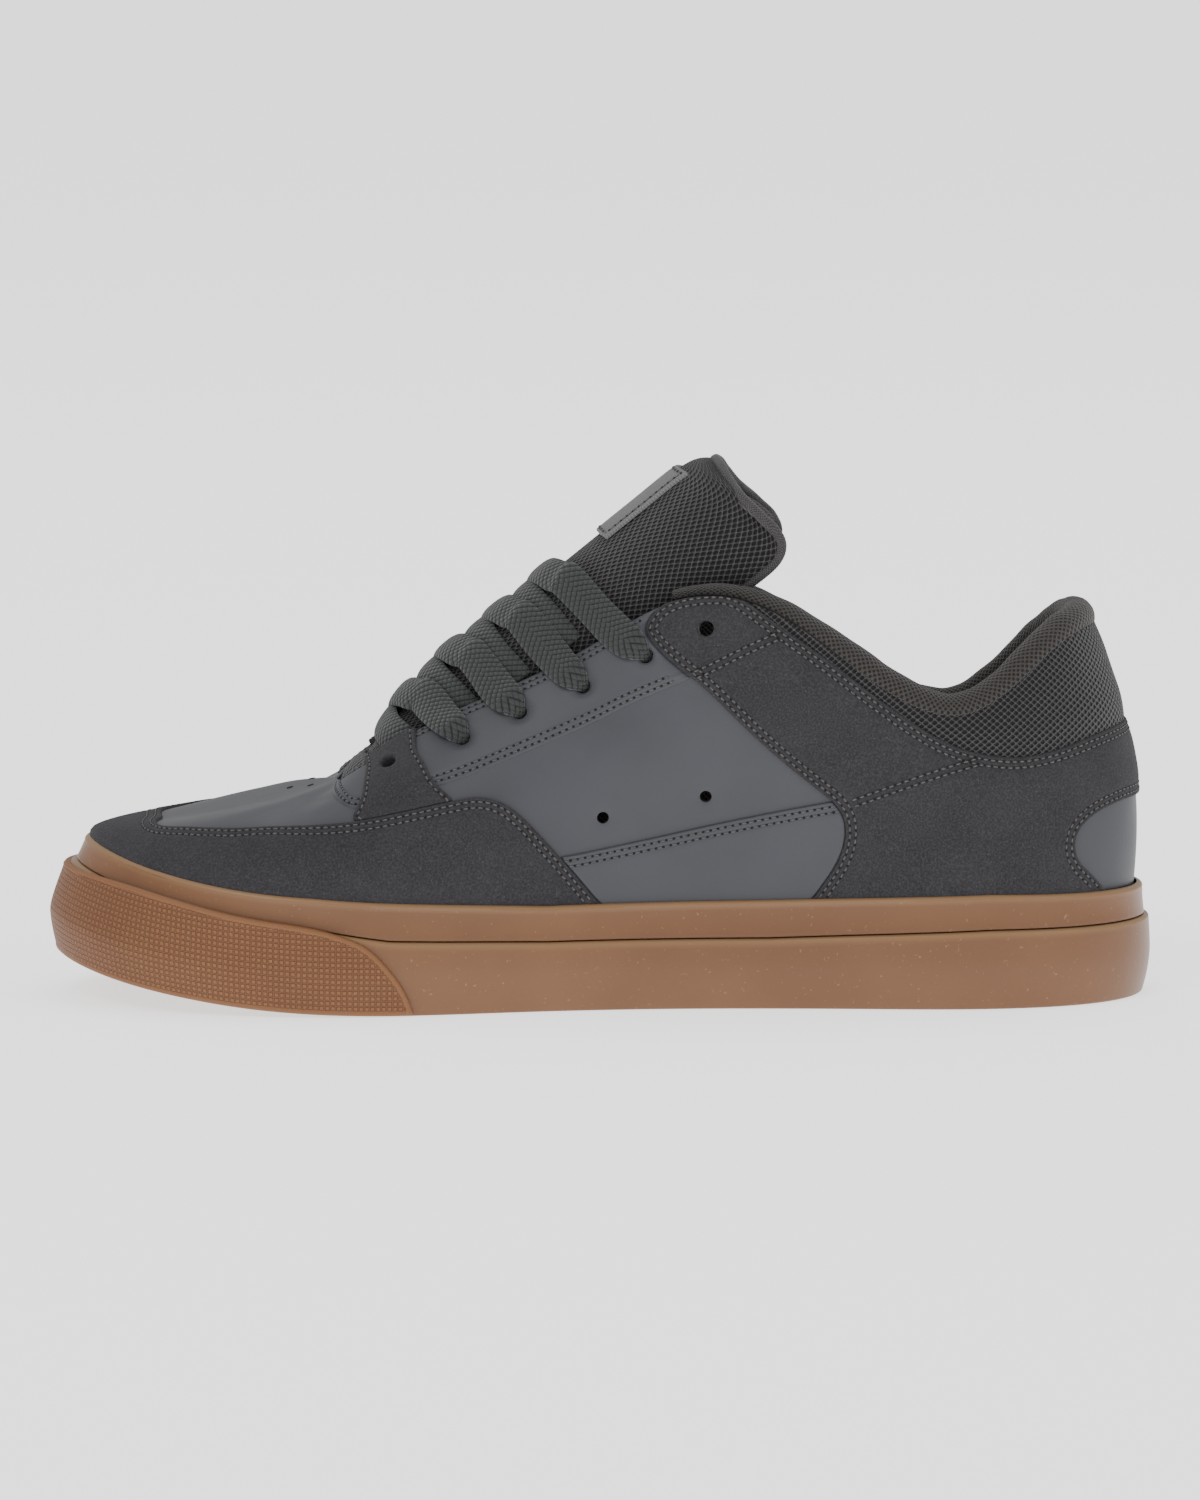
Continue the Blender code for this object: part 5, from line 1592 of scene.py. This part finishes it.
def strand(name, row, places, lifts, into):
    """A flat lace over the tongue. into gives the side whose eyelet it dives into, and which."""
    medial, ridge, lateral = places
    bow = (medial + lateral) / 2 - ridge
    across = np.linspace(-0.66, 0.66, 15)
    if into:
        end = -1 if into[0] < 0 else 1
        across = across[(across * end) < 0.44]
    at = row + ridge + (lateral - medial) / 2 * across + bow * across * across
    points, out = tongue_point(at, across, np.interp(across, LACE_PLACES, lifts))
    widths = np.full(len(points), 1.0)
    if into:
        side, number = into
        centre, normal, _ = eyelets[2 * number + (0 if side < 0 else 1)]
        last = points[0] if side < 0 else points[-1]
        edge = TOP_LINE[np.argmin(np.linalg.norm(TOP_LINE - (0.55 * last + 0.45 * centre), axis=1))]
        over = 0.5 * edge + 0.5 * (0.5 * last + 0.5 * centre) + normal * 0.0016
        tail = [
            (over, 1.0), (centre + normal * 0.0023 + (over - centre) * 0.34, 0.88),
            (centre + normal * 0.0002 + (over - centre) * 0.14, 0.64),
            (centre - normal * 0.0035, 0.45),
        ]
        more = np.array([p for p, _ in tail])
        wide = np.array([w for _, w in tail])
        back = -unit(over - centre)
        outs = np.array([normal, normal, unit(normal * 0.6 + back * 0.8), back])
        if side < 0:
            points, out = np.concatenate([more[::-1], points]), np.concatenate([outs[::-1], out])
            widths = np.concatenate([wide[::-1], widths])
        else:
            points, out = np.concatenate([points, more]), np.concatenate([out, outs])
            widths = np.concatenate([widths, wide])
    line, walked = smooth_line(np.concatenate([points, out, widths[:, None]], 1), 120)
    centre, up, wide = line[:, :3], unit(line[:, 3:6]), line[:, 6]
    run = unit(np.gradient(centre, axis=0))
    across_way = unit(np.cross(up, run))
    up = np.cross(run, across_way)
    angle = np.linspace(0, 2 * math.pi, 25)[:-1]
    flat = np.sign(np.cos(angle)) * np.abs(np.cos(angle)) ** 0.75
    bulge = np.sin(angle) * (1 - 0.25 * np.cos(angle) ** 2)
    half = LACE_WIDTH / 2 * wide * (1 + 0.03 * np.sin(walked / 0.004 + row * 3))
    thick = LACE_THICKNESS / 2 * (1 + 0.5 * (1 - wide))
    rings = (
        centre[:, None] + across_way[:, None] * (half[:, None] * flat)[..., None]
        + up[:, None] * (thick[:, None] * bulge)[..., None]
    )
    return tube(name, rings, tube_cloth(walked, LACE_WIDTH / 2 * flat[None]))


lace_parts = [strand("lace_bar", LACE_BAR_ROW, (0.0, 0.0, 0.0), BAR_LIFTS, None)]
for number, row in enumerate(LACE_ROWS, start=1):
    low_start = np.where(LACE_PLACES > 0.4, 2.4 * MM, 0) if number == 1 else 0
    low_end = np.where(LACE_PLACES < -0.4, 2.4 * MM, 0) if number == 1 else 0
    for word, path, lifts, low, side in (
        ("under", UNDER_PATH, UNDER_LIFTS, low_end, 1),
        ("over", OVER_PATH, OVER_LIFTS, low_start, -1),
    ):
        lifts = np.maximum(lifts, low)
        lace_parts.append(strand(f"lace_{word}_{number}", row, path, lifts, (side, number)))
for part in lace_parts:
    dress(part, "lace", [BRAID])


# %% [markdown]
# ## The sole
#
# The cup of the sole shows as two strips: the thick lower foxing and the thinner upper one above
# a step. Each is a band that runs right round the shoe, with softly rounded corners as the mould
# leaves them. The bumper is cut from the lower foxing's own surface.

# %% The sole
def band_rings(turns, corners):
    """Rings round a strip's section. corners gives (height, depth, whether it is an inner face)."""
    rings = []
    for height, depth, inner in corners:
        rings.append(sole_point(turns, height, depth, core_inset if inner else side_inset))
    return np.stack(rings, 1)


def foxing_band(name, low, high, depth, radius, foot_radius, hollow):
    turns = even_turns(641)[:-1]
    bend = np.linspace(0, math.pi / 2, 5)
    corners = [
        (low + foot_radius * (1 - math.cos(a)), depth + foot_radius * (1 - math.sin(a)), False)
        for a in bend
    ]
    for share in np.linspace(0.12, 0.88, 8):
        dip = hollow * math.sin(math.pi * share)
        corners.append((low + (high - low) * share, depth + dip, False))
    corners += [
        (high - radius * (1 - math.sin(a)), depth + radius * (1 - math.cos(a)), False) for a in bend
    ]
    corners += [(high, FOXING_WALL - 0.0002, True), (low, FOXING_WALL - 0.0002, True)]
    corners = [(h + 0 * turns, d, i) for h, d, i in corners]
    rings = band_rings(turns, corners)
    edge = rings[:, 9]
    walked = walked_along(edge)
    steps = np.linalg.norm(np.diff(rings, axis=1), axis=-1)
    climb = np.concatenate([np.zeros((len(turns), 1)), np.cumsum(steps, 1)], 1)
    rim = np.abs(high[:, None] - rings[..., 2])
    cloth = np.stack([np.broadcast_to(walked[:, None], climb.shape), climb, rim], -1)
    return tube(name, rings, cloth, rim=rim, closed=True)


turns_641 = even_turns(641)[:-1]
along_641 = along_turn(turns_641)
step_line = foxing_height(along_641, FOXING_SPLIT)
lower = foxing_band("foxing_lower_gum", bottom_height(along_641), step_line, 0.0, 0.0009, 0.0007, 0.0)
dress(lower, "foxing_lower", [GUM])
upper_foxing = foxing_band(
    "foxing_upper_gum", step_line + GAP, foxing_height(along_641, FOXING_TOP), FOXING_STEP,
    0.0011, 0.0002, 0.00018,
)
dress(upper_foxing, "foxing_upper", [GUM])

BUMPER_EDGE = (
    (0.667, -0.060), (0.668, -0.010), (0.677, 0.065), (0.692, 0.125), (0.711, 0.176),
    (0.735, 0.206), (0.770, 0.229), (0.830, 0.254), (0.900, 0.295), (0.955, 0.322),
    (1.040, 0.345),
)


def bumper_sheet():
    station = np.linspace(8.0, LOOP - 8.0, 421)
    along = along_turn(station)
    low = bottom_height(along) + BUMPER_LIFT
    share = np.linspace(0, 1, 41)
    heights = low[:, None] + 0.92 * FOXING_HEIGHT * share[None]
    rings = [sole_point(station, heights[:, k], 0.0) for k in range(len(share))]
    outwards = np.array([0.05, 0, 0])
    flat = np.array([1.0, 1.0, 0.0])
    return Sheet(np.stack(rings, 1), lambda p: p * flat + outwards, mirrored=False)


bumper_face = bumper_sheet()
bumper_outline = np.concatenate([drawn(BUMPER_EDGE), straight([(1.040, -0.050)])])
bumper_field = bumper_face.surface_distance(signed_distance(bumper_face.points, bumper_outline))
bumper_field = np.minimum(bumper_field, bumper_face.climb + 1e-5)
bumper_field = np.minimum(bumper_field, bumper_face.climb[:, -1:] - bumper_face.climb + 1e-5)
bumper, _ = cut_piece(
    "toe_bumper_gum", bumper_face, bumper_field, BUMPER_WALL + CURVE_GAP, rim=0.0010,
    shape=lambda place, near, bed: -0.00022 * smoothstep(0.0012, 0.0017, near),
)
dress(bumper, "toe_bumper", [BUMPER_GUM, BUMPER_GUM])

for place in bpy.data.objects["outsole"].material_slots:
    place.material = SOLE_GUM


# %% [markdown]
# ## The insole
#
# The footbed is a cloth-covered foam pad, a little dished under the heel. It is cut from a flat
# sheet by its distance to the outline, like the leather, and shows only from above.

# %% The insole
def plan_distance(points, corners):
    return signed_distance(points[..., [0, 2, 1]], corners)


insole_inset = SKIRT_DEPTH + UPPER_WALL + 2 * SEAM_GAP
grid_x, grid_y = np.meshgrid(
    np.linspace(-0.150, 0.150, 201), np.linspace(-0.060, 0.060, 81), indexing="ij")
grid_along = np.clip(along_at(grid_x), 0, 1)
bed_height = platform_height(grid_along) + GAP
bed_points = np.stack([grid_x, grid_y, bed_height], -1)
insole_face = Sheet(bed_points, lambda p: np.array([0, 0, 1.0]) + 0 * p, mirrored=False)
insole_turns = even_turns(241)[:-1]
insole_foot = platform_height(along_turn(insole_turns)) + GAP
insole_line = sole_point(insole_turns, insole_foot, insole_inset, core_inset)
insole_field = plan_distance(insole_face.points, insole_line[:, :2])
INSOLE_RIM, HEEL_CUP = 0.0016, 0.0012


def footbed_top(place, near, bed):
    """Thinner towards the toe, with a shallow cup under the heel."""
    along = np.clip(along_at(place[:, 0]), 0, 1)
    wall = INSOLE_HEEL + (INSOLE_TOE - INSOLE_HEEL) * along
    cup = HEEL_CUP * smoothstep(0.004, 0.020, near) * smoothstep(0.05, 0.11, place[:, 0])
    return wall * round_rim(near, INSOLE_RIM) - cup


insole, _ = cut_piece(
    "insole_cloth", insole_face, insole_field, 0.0, rim=INSOLE_RIM, shape=footbed_top,
)
dress(insole, "insole", [FOOTBED, FOOTBED])


# %% [markdown]
# ## Seams across the suede
#
# Two more seams cross the back quarter: one where its upper and lower suede meet behind the side
# panel, and one that closes the piece at the top eyelet.

# %% Seams across the suede
LOWER_SEAM = ((0.277, 0.516), (0.239, 0.554), (0.199, 0.592), (0.165, 0.619))
TOP_SEAM = ((0.418, 0.835), (0.402, 0.855), (0.373, 0.895), (0.344, 0.931))


def surface_line(rows, side, shift, lift):
    """A line on the upper through side-view places, shifted sideways and lifted."""
    flat = drawn(rows, steps=10)
    run = unit(np.gradient(flat, axis=0))
    flat = flat + np.stack([-run[:, 1], run[:, 0]], -1) * shift
    found = [on_surface(place, side) for place in flat]
    points = np.array([p for p, _ in found])
    normals = np.array([n for _, n in found])
    return points + normals * lift, normals


cross_lines = []
for side in (-1, 1):
    for shift in (-0.0009, 0.0009):
        cross_lines.append(surface_line(LOWER_SEAM, side, shift, OVERLAY_WALL + 0.0002))
        cross_lines.append(surface_line(TOP_SEAM, side, shift, OVERLAY_WALL + 0.0002))
dress(sew("back_quarter_cross_stitches", cross_lines), None, [SUEDE_THREAD, PAINTED_HOLE_SHADE])


# %% [markdown]
# ## Perforations in the vamp
#
# A few pin holes let the toes breathe. Each is drawn as a fine punch mark: a tiny cup of painted
# shade, near black, set a hair below the leather.

# %% Perforations in the vamp
PERFORATIONS = ((0.787, 0.10), (0.767, 0.04), (0.767, 0.14))


def perforations():
    bm = bmesh.new()
    flat = UPPER.points.reshape(-1, 3)
    normals = UPPER.normals.reshape(-1, 3)
    for along, across in PERFORATIONS:
        x = float(x_at(along))
        target = np.array([x, float(spine_y(x)) + across * BALL_WIDTH])
        away = np.sum((flat[:, :2] - target) ** 2, 1) + (flat[:, 2] < 0.045) * 1.0
        index = int(np.argmin(away))
        turn = Vector(normals[index]).to_track_quat("Z", "Y").to_matrix().to_4x4()
        turn.translation = Vector(flat[index] - normals[index] * 0.00035)
        bmesh.ops.create_cone(
            bm, cap_ends=True, segments=14, radius1=0.0009, radius2=0.0009, depth=0.0010, matrix=turn,
        )
    obj = make_object("vamp_perforations", bm)
    bm.free()
    return obj


dress(perforations(), None, [PAINTED_HOLE_SHADE])


# %% [markdown]
# ## Sizes, and the end
#
# Last, the pieces and their triangles are counted. The finished piece has to stay within the
# solids' box, apart from what cloth may stand proud.

# %% Sizes, and the end
triangles = 0
for piece in PIECES:
    piece.data.calc_loop_triangles()
    triangles += len(piece.data.loop_triangles)
print("pieces", len(PIECES), "triangles", triangles)
